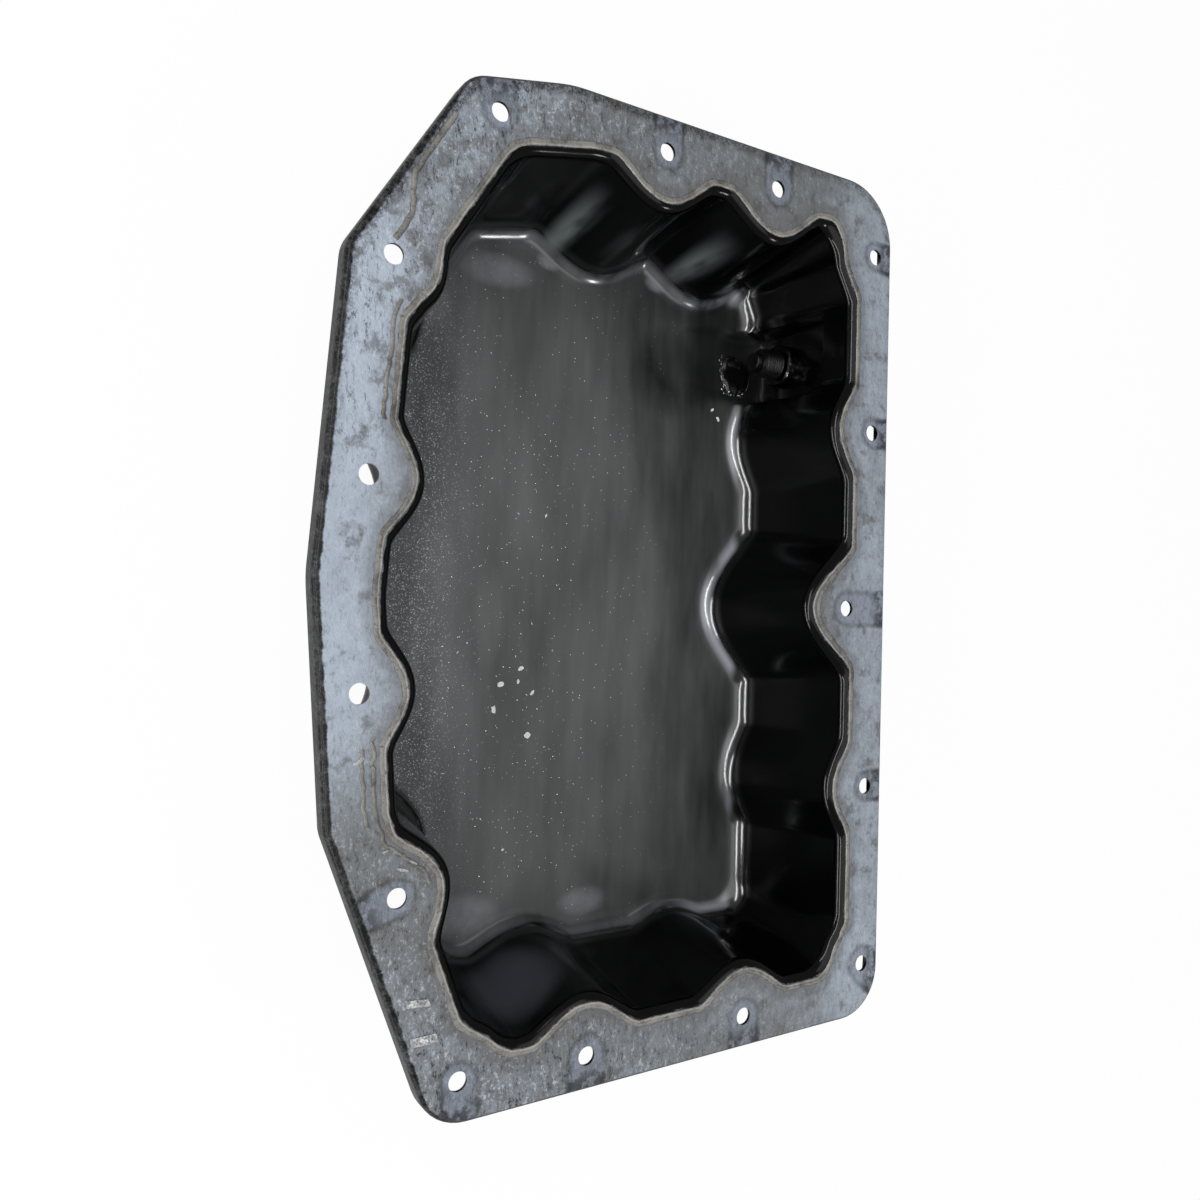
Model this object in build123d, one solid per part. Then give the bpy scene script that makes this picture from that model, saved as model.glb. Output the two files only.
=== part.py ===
from build123d import *
import math
import os

# Engine oil pan: one deep-drawn steel sheet with a bolted rim, seen from the engine side.
# X runs across the engine, Y along it and Z up. The bowl opens upwards and the pan
# rests on the underside of its drain well at Z = 0, centred on the rim's outer size.
# All sizes are millimetres.

# Sheet and heights
sheet = 1.5
bowl_depth = 62.0
well_depth = 2.0
lip_height = 8.0

# Bends of the sheet, each measured on the side that shows from above
rim_edge_radius = 3.0
bowl_mouth_radius = 4.5
floor_radius = 8.0

# Outline of the rim: x, y and corner radius, anticlockwise from the front right corner
half_width = 138.0
half_length = 197.0
rim_corners = [
    (half_width, half_length, 28.0),
    (97.0 - half_width, half_length, 60.0),
    (54.0 - half_width, half_length - 9.0, 15.0),
    (9.0 - half_width, half_length - 80.0, 14.0),
    (-half_width, 2.0, 60.0),
    (6.5 - half_width, 110.5 - half_length, 14.0),
    (48.0 - half_width, -half_length, 20.0),
    (half_width, -half_length, 22.0),
]
mouth_corner_radius = 20.0
floor_corner_radius = 12.0

# Bolt holes: x, y, radius of the land that the wall leaves round the bolt,
# and how far the wall leans in below that land
bolt_hole_radius = 3.75
right_bolt_x = half_width - 11.0
middle_bolt_y = -4.5
bolt_pitch = (half_length - 29.0) / 2
land_radius = 20.5
side_land_radius = 17.5
land_lean = 9.0
bolts = [
    (right_bolt_x, middle_bolt_y + 2 * bolt_pitch, land_radius, 6.0),
    (65.0, half_length - 15.7, land_radius, land_lean),
    (4.5, half_length - 15.0, land_radius, land_lean),
    (66.0 - half_width, half_length - 20.0, 0.0, 0.0),
    (26.0 - half_width, half_length - 81.5, side_land_radius, land_lean),
    (19.0 - half_width, 37.5, side_land_radius, 1.0),
    (17.5 - half_width, -38.5, side_land_radius, 1.0),
    (33.0 - half_width, 86.0 - half_length, side_land_radius, land_lean),
    (58.0 - half_width, 16.0 - half_length, side_land_radius, land_lean),
    (-25.0, 13.5 - half_length, land_radius, land_lean),
    (55.0, 13.5 - half_length, land_radius, 6.0),
    (right_bolt_x, middle_bolt_y - 2 * bolt_pitch, land_radius, 2.0),
    (right_bolt_x, middle_bolt_y - bolt_pitch, land_radius, land_lean),
    (right_bolt_x - 14.5, middle_bolt_y, land_radius, land_lean),
    (right_bolt_x, middle_bolt_y + bolt_pitch, land_radius, land_lean),
]
land_blend = 10.0

# Rim width and inward lean of the wall for the side that starts at each corner
rim_width = land_radius + 1.5
rim_extras = [0.0, 2.0, 4.5, 1.5, 0.5, 0.5, 0.0, 0.0]
rim_widths = [rim_width + extra for extra in rim_extras]
wall_leans = [9.0, 9.0, 9.0, 1.0, 1.0, 9.0, 12.5, 10.0]

# Spacing of the wall's narrow facets, and the steps round its two bends
station_gap = 8.5
mouth_angles = [30.0, 60.0, 88.0]
foot_angles = [14.0, 38.0, 64.0, 90.0]

# Drain well: an upright pad in the right wall and a tongue in the floor that leads to it
drain_y = middle_bolt_y + 1.5 * bolt_pitch - 4.0
drain_height_above_floor = 16.0
pad_x = half_width - rim_width - 3.0
pad_half_width = 17.0
pad_top_depth = 16.0
pad_corner_radius = 5.0
tongue_x = pad_x - 56.0
tongue_radius = 12.0
well_floor_radius = 3.0
pad_top_chamfer = 1.5

# Drain nut, plug and washer
thread_radius = 7.0
thread_clearance = 0.05
nut_radius = 10.5
nut_height = 7.0
nut_chamfer = 1.0
washer_thickness = 1.5
washer_radius = 11.5
hole_clearance = 0.5
washer_clearance = 0.2
plug_flange_radius = 12.0
plug_flange_height = 2.5
plug_hex_across_flats = 19.0
plug_hex_height = 7.0
plug_hex_chamfer = 1.2
plug_thread_past_nut = 15.0
plug_tip_chamfer = 1.0

# Heights that follow from the sizes above
well_top = sheet
floor_top = well_top + well_depth
rim_top = floor_top + bowl_depth
drain_z = floor_top + drain_height_above_floor


def corner_turn(before, corner, after):
    """Headings into and out of a corner, and the turn between them."""
    heading_in = math.atan2(corner[1] - before[1], corner[0] - before[0])
    heading_out = math.atan2(after[1] - corner[1], after[0] - corner[0])
    turn = (heading_out - heading_in + math.pi) % (2 * math.pi) - math.pi
    return heading_in, heading_out, turn


def inset_corners(insets, least_radius):
    """Corners of the rim outline after each side has moved inwards by its own inset."""
    count = len(rim_corners)
    sides = []
    for index, (x, y, _) in enumerate(rim_corners):
        next_x, next_y, _ = rim_corners[(index + 1) % count]
        heading = math.atan2(next_y - y, next_x - x)
        tx, ty = math.cos(heading), math.sin(heading)
        sides.append((x - ty * insets[index], y + tx * insets[index], tx, ty))
    corners = []
    for index in range(count):
        ax, ay, atx, aty = sides[index - 1]
        bx, by, btx, bty = sides[index]
        along = ((bx - ax) * bty - (by - ay) * btx) / (atx * bty - aty * btx)
        radius = max(rim_corners[index][2] - insets[index], least_radius)
        corners.append((ax + atx * along, ay + aty * along, radius))
    return corners


def rounded_path(corners):
    """Arcs and lines round a polygon, each as (length, start, heading, curvature)."""
    count = len(corners)
    ends = []
    for index in range(count):
        x, y, radius = corners[index]
        heading_in, heading_out, turn = corner_turn(
            corners[index - 1], corners[index], corners[(index + 1) % count]
        )
        tangent = radius * math.tan(turn / 2)
        start = (x - tangent * math.cos(heading_in), y - tangent * math.sin(heading_in))
        end = (x + tangent * math.cos(heading_out), y + tangent * math.sin(heading_out))
        ends.append((start, end, heading_in, heading_out, radius * turn, 1 / radius))
    path = []
    for index in range(count):
        start, end, heading_in, heading_out, length, curvature = ends[index]
        next_start = ends[(index + 1) % count][0]
        path.append((length, start, heading_in, curvature))
        path.append((math.dist(end, next_start), end, heading_out, 0.0))
    return path


def walk(piece, distance):
    """Point and inward direction at a distance along one arc or line of a path."""
    _, (x, y), heading, curvature = piece
    turned = heading + curvature * distance
    if curvature:
        x += (math.sin(turned) - math.sin(heading)) / curvature
        y -= (math.cos(turned) - math.cos(heading)) / curvature
    else:
        x += distance * math.cos(heading)
        y += distance * math.sin(heading)
    return (x, y), (-math.sin(turned), math.cos(turned))


def land_push(point, inward, common_inset, lean_share):
    """How far the bolt lands push the wall inwards at one place of the outline."""
    squares = 0.0
    for x, y, radius, lean in bolts:
        if not radius:
            continue
        reach = radius + common_inset + lean * lean_share
        ahead = (x - point[0]) * inward[0] + (y - point[1]) * inward[1]
        aside = (x - point[0]) * inward[1] - (y - point[1]) * inward[0]
        width_square = (reach + land_blend) ** 2 - (land_blend - min(ahead, 0.0)) ** 2
        if width_square > aside**2:
            behind = min(max(1.5 - 3 * ahead / reach, 0.0), 1.0)
            rise = max(ahead + reach, 0.0) * behind * behind * (3 - 2 * behind)
            squares += (rise * (1 - aside**2 / width_square) ** 1.5) ** 2
    return math.sqrt(squares)


def bowl_path(common_inset, lean_share):
    """Path of the wall at one level, before the bolt lands push into it."""
    insets = [
        width + common_inset + lean * lean_share
        for width, lean in zip(rim_widths, wall_leans)
    ]
    least_radius = mouth_corner_radius + (floor_corner_radius - mouth_corner_radius) * lean_share
    return rounded_path(inset_corners(insets, least_radius))


def bowl_section(common_inset, lean_share, z):
    """Level face of the bowl: the rim's outline moved in, with a scallop at each bolt."""
    path = bowl_path(common_inset, lean_share)
    points = []
    for piece, mouth_piece in zip(path, bowl_path(0.0, 0.0)):
        stations = max(round(mouth_piece[0] / station_gap), 2)
        for index in range(stations):
            point, inward = walk(piece, piece[0] * index / stations)
            push = land_push(point, inward, common_inset, lean_share)
            points.append((point[0] + inward[0] * push, point[1] + inward[1] * push, z))
    return make_face(Wire.make_polygon([Vector(*p) for p in points], close=True))


def bowl_solid(skin, mouth_z):
    """Solid that fills the bowl: skin 0 for its inside, the sheet's thickness for its outside."""
    mouth_radius = bowl_mouth_radius - skin
    foot_radius = floor_radius + skin
    mouth_centre_z = rim_top - bowl_mouth_radius
    foot_centre_z = floor_top + floor_radius
    first = math.radians(mouth_angles[0])
    climb = mouth_z - (mouth_centre_z + mouth_radius * math.cos(first))
    rows = [(mouth_radius * math.sin(first) - climb / math.tan(first), mouth_z)]
    for angle in mouth_angles:
        turned = math.radians(angle)
        rows.append((mouth_radius * math.sin(turned), mouth_centre_z + mouth_radius * math.cos(turned)))
    for angle in foot_angles:
        turned = math.radians(angle)
        inset = mouth_radius + foot_radius * (1 - math.cos(turned))
        rows.append((inset, foot_centre_z - foot_radius * math.sin(turned)))

    faces = []
    for inset, z in rows:
        lean_share = max((mouth_centre_z - z) / (mouth_centre_z - floor_top), 0.0)
        faces.append(bowl_section(inset, lean_share, z))
    return loft(faces, ruled=True)


def bend_flat(radius):
    """Leg of the bevel that touches a quarter bend of this radius."""
    return (2 - math.sqrt(2)) * radius


def well_solid(skin):
    """Drain well: tongue and pad in one plan, from the well's floor to the top of the pad."""
    corner_offset = pad_half_width - pad_corner_radius
    corner_x = pad_x - pad_corner_radius
    circles = [
        Pos(tongue_x, drain_y) * Circle(tongue_radius + skin),
        Pos(corner_x, drain_y + corner_offset) * Circle(pad_corner_radius + skin),
        Pos(corner_x, drain_y - corner_offset) * Circle(pad_corner_radius + skin),
    ]
    plan = make_hull([circle.edge() for circle in circles])
    height = rim_top - pad_top_depth - well_top + 2 * skin
    block = extrude(plan, height)
    block = chamfer(block.faces().sort_by(Axis.Z)[0].edges(), bend_flat(well_floor_radius + skin))
    block = chamfer(block.faces().sort_by(Axis.Z)[-1].edges(), pad_top_chamfer + skin / 2)
    return Pos(0, 0, well_top - skin) * block


def rim_plan():
    """Outer outline of the rim with its rounded corners."""
    plan = make_face(Polyline(*[(x, y) for x, y, _ in rim_corners], close=True))
    for x, y, radius in rim_corners:
        corner = plan.vertices().sort_by_distance((x, y, 0))[0]
        plan = fillet(corner, radius)
    return plan


def rim_solid():
    """Flat rim whose edge is turned down into a stiffening lip, with its bend as a bevel."""
    plan = rim_plan()
    block = extrude(plan, lip_height)
    block = chamfer(block.faces().sort_by(Axis.Z)[-1].edges(), bend_flat(rim_edge_radius))
    hollow = extrude(offset(plan, -sheet), lip_height - sheet)
    hollow = chamfer(hollow.faces().sort_by(Axis.Z)[-1].edges(), bend_flat(rim_edge_radius - sheet))
    return Pos(0, 0, rim_top - lip_height) * (block - hollow)


def along_x(shape, x):
    """Stand a shape built along Z on the drain axis, so that it runs towards +X from x."""
    return Pos(x, drain_y, drain_z) * Rot(0, 90, 0) * shape


def hollowed(body, cavity):
    """Body with a cavity let into it that opens in the body's flat top and meets nothing else."""
    top = body.faces().sort_by(Axis.Z)[-1]
    mouth = cavity.faces().sort_by(Axis.Z)[-1]
    skins = [face for face in body.faces() if not face.is_same(top)]
    skins += [-face for face in cavity.faces() if not face.is_same(mouth)]
    skins.append(top.make_holes([mouth.outer_wire()]))
    return Part(Solid(Shell(skins)).wrapped)


def make_pan_shell():
    """The whole pressed sheet."""
    body = rim_solid() + bowl_solid(sheet, rim_top - sheet / 2) + well_solid(sheet)
    cavity = bowl_solid(0.0, rim_top) + well_solid(0.0)
    shell = hollowed(body, cavity)
    holes = [Pos(x, y, rim_top) * Cylinder(bolt_hole_radius, lip_height) for x, y, _, _ in bolts]
    holes.append(along_x(Cylinder(thread_radius + hole_clearance, 4 * sheet), pad_x))
    return shell - holes


def make_drain_nut():
    """Round nut welded to the inside of the pad."""
    base = (Align.CENTER, Align.CENTER, Align.MIN)
    nut = Cylinder(nut_radius, nut_height, align=base)
    nut = chamfer(nut.faces().sort_by(Axis.Z)[0].edges(), nut_chamfer)
    nut -= Cylinder(thread_radius + thread_clearance, nut_height, align=base)
    return along_x(nut, pad_x - nut_height)


def make_drain_washer():
    """Flat sealing ring under the plug's head."""
    base = (Align.CENTER, Align.CENTER, Align.MIN)
    ring = Cylinder(washer_radius, washer_thickness, align=base)
    ring -= Cylinder(thread_radius + washer_clearance, washer_thickness, align=base)
    return along_x(ring, pad_x + sheet)


def make_drain_plug():
    """Plug with a hexagon head, a flange and a threaded shank that passes the nut."""
    base = (Align.CENTER, Align.CENTER, Align.MIN)
    shank_length = plug_thread_past_nut + nut_height + sheet + washer_thickness
    shank = Cylinder(thread_radius, shank_length, align=base)
    shank = chamfer(shank.faces().sort_by(Axis.Z)[0].edges(), plug_tip_chamfer)
    plate = Pos(0, 0, shank_length) * Cylinder(plug_flange_radius, plug_flange_height, align=base)
    hexagon = extrude(RegularPolygon(plug_hex_across_flats / 2, 6, major_radius=False), plug_hex_height)
    crown = Cylinder(plug_hex_across_flats / math.sqrt(3), plug_hex_height, align=base)
    crown = chamfer(crown.faces().sort_by(Axis.Z)[-1].edges(), plug_hex_chamfer)
    head = Pos(0, 0, shank_length + plug_flange_height) * (hexagon & crown)
    return along_x(shank + plate + head, pad_x - nut_height - plug_thread_past_nut)


parts = {
    "pan_shell": make_pan_shell(),
    "drain_nut": make_drain_nut(),
    "drain_washer": make_drain_washer(),
    "drain_plug": make_drain_plug(),
}
os.makedirs("parts", exist_ok=True)
for name, solid in parts.items():
    export_step(solid, f"parts/{name}.step")
    box = solid.bounding_box()
    print(name, "solids", len(solid.solids()), "volume", round(solid.volume), box.min, box.max)
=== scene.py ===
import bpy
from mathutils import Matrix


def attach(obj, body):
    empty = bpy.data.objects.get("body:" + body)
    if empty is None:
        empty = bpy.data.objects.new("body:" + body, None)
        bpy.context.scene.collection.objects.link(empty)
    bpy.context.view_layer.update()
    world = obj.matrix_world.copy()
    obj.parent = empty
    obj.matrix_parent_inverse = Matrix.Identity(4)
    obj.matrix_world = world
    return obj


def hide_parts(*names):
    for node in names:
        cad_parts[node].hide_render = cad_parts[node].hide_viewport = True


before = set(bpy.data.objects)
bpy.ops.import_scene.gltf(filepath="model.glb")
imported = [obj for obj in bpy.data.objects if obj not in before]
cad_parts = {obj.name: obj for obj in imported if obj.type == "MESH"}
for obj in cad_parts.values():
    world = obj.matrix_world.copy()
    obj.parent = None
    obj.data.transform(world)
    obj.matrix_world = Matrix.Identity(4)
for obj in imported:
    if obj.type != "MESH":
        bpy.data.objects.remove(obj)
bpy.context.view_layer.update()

# Looks of an engine oil pan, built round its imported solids. The sizes in the classes are
# millimetres in the frame of the solids, and the meshes are in metres.

import logging
import math
import random
from collections.abc import Iterable, Sequence
from dataclasses import dataclass, field
from enum import Enum

import bpy
import numpy as np
from mathutils import Matrix, Vector
from mathutils.geometry import delaunay_2d_cdt

LOG = logging.getLogger("oil_pan")
MM = 0.001
Colour = tuple[float, float, float]


class Body(Enum):
    """Bodies of the part that a piece can ride on."""

    PAN = "pan"
    PLUG = "plug"


class Slot(Enum):
    """Material slots of the part's record."""

    PAINT = "black_paint"
    PLUG = "plug_steel"


# Node wiring


class Wiring:
    """A node tree that is being filled."""

    def __init__(self, tree: bpy.types.NodeTree) -> None:
        """Take in the tree."""
        self.tree = tree

    def node(self, kind: str, inputs: dict[str | int, object] | None = None,
             **settings: object) -> bpy.types.Node:
        """Add a node, set it up and feed it.

        Args:
            kind: the node's type.
            inputs: values or links by socket name or number.
            settings: the node's own settings, which are set first.

        Returns:
            The new node.
        """
        made = self.tree.nodes.new(kind)
        for key, setting in settings.items():
            setattr(made, key, setting)
        for key, entry in (inputs or {}).items():
            source = entry.socket if isinstance(entry, Value) else entry
            if isinstance(source, bpy.types.NodeSocket):
                self.tree.links.new(source, made.inputs[key])
            else:
                made.inputs[key].default_value = source
        return made


class Value:
    """A number in a shader. Arithmetic on it adds Math nodes."""

    def __init__(self, shader: "Shader", socket: bpy.types.NodeSocket) -> None:
        """Wrap one socket."""
        self.shader = shader
        self.socket = socket

    def maths(self, operation: str, *entries: "Value | float") -> "Value":
        """Result of one Math node that is fed the given numbers."""
        made = self.shader.node("ShaderNodeMath", dict(enumerate(entries)), operation=operation)
        return Value(self.shader, made.outputs[0])

    def __add__(self, other: "Value | float") -> "Value":
        """Sum."""
        return self.maths("ADD", self, other)

    __radd__ = __add__

    def __sub__(self, other: "Value | float") -> "Value":
        """Difference."""
        return self.maths("SUBTRACT", self, other)

    def __rsub__(self, other: float) -> "Value":
        """Difference from a plain number."""
        return self.maths("SUBTRACT", other, self)

    def __mul__(self, other: "Value | float") -> "Value":
        """Product."""
        return self.maths("MULTIPLY", self, other)

    __rmul__ = __mul__

    def __truediv__(self, other: "Value | float") -> "Value":
        """Quotient."""
        return self.maths("DIVIDE", self, other)

    def __abs__(self) -> "Value":
        """Size without sign."""
        return self.maths("ABSOLUTE", self)

    def most(self, other: "Value | float") -> "Value":
        """The larger of two numbers."""
        return self.maths("MAXIMUM", self, other)

    def least(self, other: "Value | float") -> "Value":
        """The smaller of two numbers."""
        return self.maths("MINIMUM", self, other)

    def rise(self, start: float, end: float) -> "Value":
        """Soft step between two numbers."""
        limits = {"Value": self, "From Min": start, "From Max": end}
        made = self.shader.node("ShaderNodeMapRange", limits, interpolation_type="SMOOTHSTEP")
        return Value(self.shader, made.outputs[0])

    def near(self, middle: float, reach: float) -> "Value":
        """1 at a number, falling to 0 at a distance from it."""
        return abs(self - middle).rise(reach, 0.0)

    def blot(self, other: "Value", middle: tuple[float, float], reach: tuple[float, float]) -> "Value":
        """Soft oval patch over two coordinates."""
        across, along = (self - middle[0]) / reach[0], (other - middle[1]) / reach[1]
        return (across * across + along * along).rise(1.0, 0.0)


class Shader(Wiring):
    """A procedural material while it is wired."""

    def __init__(self, name: str) -> None:
        """Start an empty material."""
        self.material = bpy.data.materials.new(name)
        self.material.use_nodes = True
        super().__init__(self.material.node_tree)
        self.tree.nodes.clear()
        self.place = self.node("ShaderNodeTexCoord").outputs["Object"]

    def axes(self) -> tuple[Value, Value, Value]:
        """Object coordinates in millimetres, one value for each axis."""
        parts = self.node("ShaderNodeSeparateXYZ", {0: self.place})
        x, y, z = (Value(self, parts.outputs[index]) / MM for index in range(3))
        return x, y, z

    def noise(self, size: float, detail: float = 3.0, roughness: float = 0.55,
              stretch: Colour = (1.0, 1.0, 1.0), shift: float = 0.0, distortion: float = 0.0) -> Value:
        """Cloudy pattern fixed to the object.

        Args:
            size: rough width of a patch in millimetres.
            detail: how many finer layers it has.
            roughness: strength of the finer layers.
            stretch: how many times longer patches are along each axis.
            shift: moves the pattern, so that two of one size differ.
            distortion: how much it is warped.

        Returns:
            A number from 0 to 1, mostly near 0.5.
        """
        scale = tuple(1.0 / length for length in stretch)
        moving = {"Vector": self.place, "Scale": scale, "Location": (shift, shift, 0.0)}
        moved = self.node("ShaderNodeMapping", moving)
        pattern = {
            "Vector": moved.outputs[0], "Scale": 1.0 / (size * MM), "Detail": detail, "Roughness": roughness,
            "Distortion": distortion,
        }
        return Value(self, self.node("ShaderNodeTexNoise", pattern).outputs[0])

    def specks(self, size: float, shift: float = 0.0) -> Value:
        """Distance to the nearest of many scattered points, 0 at a point."""
        moved = self.node("ShaderNodeMapping", {"Vector": self.place, "Location": (shift, shift, 0.0)})
        made = self.node("ShaderNodeTexVoronoi", {"Vector": moved.outputs[0], "Scale": 1.0 / (size * MM)})
        return Value(self, made.outputs["Distance"])

    def attribute(self, name: str) -> Value:
        """A number stored on the mesh."""
        return Value(self, self.node("ShaderNodeAttribute", attribute_name=name).outputs["Fac"])

    def blend(self, share: Value | float, under: object, over: object) -> bpy.types.NodeSocket:
        """Mix two colours."""
        pair = [(*entry, 1.0) if isinstance(entry, tuple) else entry for entry in (under, over)]
        return self.node("ShaderNodeMix", {0: share, 6: pair[0], 7: pair[1]}, data_type="RGBA").outputs[2]

    def bump(self, height: Value, depth: float) -> bpy.types.NodeSocket:
        """Turn a height pattern into a surface normal."""
        return self.node("ShaderNodeBump", {"Height": height, "Distance": depth * MM}).outputs[0]

    def surface(self, **sockets: object) -> bpy.types.Material:
        """Close the material with a Principled surface.

        Args:
            sockets: its inputs, with underscores for spaces.

        Returns:
            The finished material.
        """
        inputs = {}
        for key, entry in sockets.items():
            name = key.replace("_", " ")
            inputs[name] = (*entry, 1.0) if isinstance(entry, tuple) and len(entry) == 3 else entry
        shell = self.node("ShaderNodeBsdfPrincipled", inputs)
        self.node("ShaderNodeOutputMaterial", {"Surface": shell.outputs[0]})
        return self.material


# Finishes


@dataclass(frozen=True)
class PanFinish:
    """Oily black paint with old liquid sealant on the rim and dust on the floor, with painted reflections,
    sheen and highlights.
    """

    black: Colour = (0.0010, 0.0011, 0.0012)
    film_grey: Colour = (0.158, 0.166, 0.172)
    film_blue_and_sheen: Colour = (0.42, 0.48, 0.565)
    film_brown: Colour = (0.095, 0.090, 0.086)
    key_pale: Colour = (0.215, 0.245, 0.305)
    dark: Colour = (0.026, 0.025, 0.027)
    floor_dust: Colour = (0.150, 0.155, 0.156)
    speck: Colour = (0.72, 0.74, 0.80)
    scuff: Colour = (0.13, 0.135, 0.14)
    glint: Colour = (0.62, 0.67, 0.74)
    ripple_pale: Colour = (0.42, 0.46, 0.52)
    left_dust: Colour = (0.20, 0.21, 0.235)
    # Painted light: colours of the floor's reflections, the far wall's highlight streaks, the near wall's
    # reflection and the foot's highlight band, and where the floor's reflections lie
    reflection_tint: Colour = (0.62, 0.66, 0.74)
    streak_sheen: Colour = (0.24, 0.27, 0.28)
    near_wall_sheen: Colour = (0.105, 0.115, 0.14)
    foot_highlight: Colour = (0.36, 0.38, 0.42)
    reflection_blots: tuple[tuple[tuple[float, float], tuple[float, float], float], ...] = (
        ((-56.0, -141.0), (24.0, 11.0), 1.0),
        ((9.0, -143.0), (15.0, 8.0), 0.8),
        ((-43.0, 141.0), (22.0, 9.0), 0.8),
        ((-72.0, 122.0), (10.0, 14.0), 0.5),
        ((-16.0, 150.0), (8.0, 5.0), 1.0),
        ((43.0, 151.0), (8.0, 5.0), 1.0),
    )
    rim_top: float = 65.5
    floor_top: float = 3.5
    drain_y: float = 117.5

    def film(self, s: Shader, mottle: Value, grain: Value, gap: Value, edge: Value,
             key: Value) -> tuple[object, Value, Value]:
        """Colour and relief of the old sealant on the rim, with a painted bluish sheen at the sides and
        painted glints.

        Args:
            s: the material's shader.
            mottle: patches of a few millimetres.
            grain: patches of about a millimetre.
            gap: distance from the mouth in millimetres.
            edge: distance from the outer edge.
            key: signed distance to the marks of the block's bolt bosses.

        Returns:
            The film's colour, its relief and how rough it is.
        """
        x, y, _ = s.axes()
        scratch = s.noise(1.5, 3.0, 0.7, stretch=(1.0, 4.5, 1.0), shift=3.0)
        crinkle = s.noise(1.9, 4.0, 0.8, stretch=(1.0, 2.4, 1.0), shift=5.0)
        upper_left = (y - x * 0.9).rise(120.0, 260.0)
        lower_left = (0.0 - y - x * 0.6).rise(120.0, 220.0)
        wild = (upper_left + lower_left).least(1.0)

        # Paler and bluer at the sides and in the upper left corner, a painted sheen laid over mottled tone;
        # browner and rougher at the ends on the left
        left = x.rise(-88.0, -128.0) * abs(y - 28.0).rise(128.0, 62.0)
        corner = (y - x * 1.6).rise(215.0, 300.0)
        right = x.rise(85.0, 125.0)
        level = left * 0.70 + right * 0.46 + y.rise(-120.0, -190.0) * 0.13 + corner * 0.42 + 0.05
        spread = (s.noise(30.0, 2.0) - 0.5) * 0.7 + (mottle - 0.5) * 0.9
        spread = spread + (scratch - 0.5) * 0.5 + (grain - 0.5) * 0.5
        pale = (level + spread * (0.70 + wild * 0.25)).rise(-0.1, 1.05)
        tint = s.blend(pale, self.film_grey, self.film_blue_and_sheen)
        brown = (s.noise(11.0, 4.0, 0.65, shift=2.1) + upper_left * 0.05 - left * 0.02).rise(0.53, 0.66)
        tint = s.blend(brown * 0.6, tint, self.film_brown)
        tint = s.blend(scratch.rise(0.52, 0.70) * (0.30 + wild * 0.3), tint, self.film_brown)
        pits = crinkle.rise(0.56, 0.64) * (0.30 + wild * 0.55)
        tint = s.blend(pits, tint, self.dark)
        # Painted glints on the crinkled film
        shine = crinkle.rise(0.48, 0.38) * grain.rise(0.44, 0.58)
        tint = s.blend(shine * (0.19 + wild * 0.38), tint, self.glint)
        strip = (edge + (mottle - 0.5) * 7.0).rise(6.0, 3.0)
        strip = strip * (upper_left + y.rise(150.0, 175.0) * 0.6).least(1.0)
        tint = s.blend(strip * grain.rise(0.36, 0.56) * 0.8, tint, self.dark)

        # Marks of the block's bolt bosses, with a dark border that is widest at the outer edge
        wavy = key + (mottle - 0.5) * 3.2 + (grain - 0.5) * 0.8
        within = wavy.rise(0.4, -0.6)
        tint = s.blend(within * 0.60, tint, self.key_pale)
        tint = s.blend(within * crinkle.rise(0.52, 0.60) * 0.5, tint, self.film_brown)
        ends = edge.rise(12.0, 3.0)
        tint = s.blend(within * ends * mottle.rise(0.40, 0.55) * 0.8, tint, self.dark)
        band = wavy.near(0.3, 2.0) * (0.40 + ends * 0.45) * mottle.rise(0.30, 0.48)
        tint = s.blend(band, tint, self.dark)

        # Creases that run along the mouth
        bent = gap + (mottle - 0.5) * 3.0 + (s.noise(14.0, 1.0, shift=9.0) - 0.5) * 3.0
        ripple = (bent * 2.3).maths("SINE") * bent.rise(11.0, 3.0)
        tint = s.blend(ripple.rise(0.1, 0.9) * 0.75, tint, self.film_brown)
        tint = s.blend(ripple.rise(-0.4, -0.95) * 0.45, tint, self.ripple_pale)
        relief = grain * (0.9 + wild * 0.8) + ripple * 0.9 + mottle + crinkle * (0.6 + wild * 1.4)
        rough = 0.40 + (grain - 0.5) * 0.3 - within * 0.08 - wild * 0.10
        return tint, relief, rough

    def dust(self, s: Shader, mottle: Value, grain: Value, low: Value) -> tuple[object, Value]:
        """Dust, smears and specks on the floor of the bowl, with painted reflections, highlight streaks and
        sheen on floor and walls.

        Args:
            s: the material's shader.
            mottle: patches of a few millimetres.
            grain: patches of about a millimetre.
            low: 1 on the floor.

        Returns:
            Colour of floor and wall, and the haze.
        """
        x, y, z = s.axes()
        smear = s.noise(26.0, 3.0, 0.55, stretch=(1.0, 3.0, 1.0))
        rub = s.noise(5.0, 2.0, 0.6, stretch=(1.0, 9.0, 1.0), shift=6.0)
        right = (x + abs(y) * 0.15).rise(0.0, 100.0)
        wash = (x + 78.0 + abs(y + 20.0) * 0.12).rise(34.0, -14.0)
        apex = x.blot(y, (52.0, 108.0), (30.0, 24.0))
        wipes = x.blot(y, (-42.0, -13.0), (9.0, 26.0)) * 0.16
        wipes = wipes + x.blot(y, (-28.0, 40.0), (8.0, 30.0)) * 0.10
        far = y.rise(60.0, 150.0) * 0.12 + right * 0.36 + apex * 0.16
        haze = (0.73 + (smear - 0.5) * 0.7 + (rub - 0.5) * 0.2 + wash * 0.05 + wipes - far) * low
        tongue = (x - 66.0).rise(0.0, 12.0) * abs(y - self.drain_y).rise(22.0, 14.0)
        haze = haze * (1.0 - tongue * 0.42)
        near_left = x.rise(-42.0, -92.0)
        uneven = grain.rise(0.36, 0.66)
        tiny = s.specks(1.0).rise(0.36, 0.18) * mottle.rise(0.36, 0.56) * near_left
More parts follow.
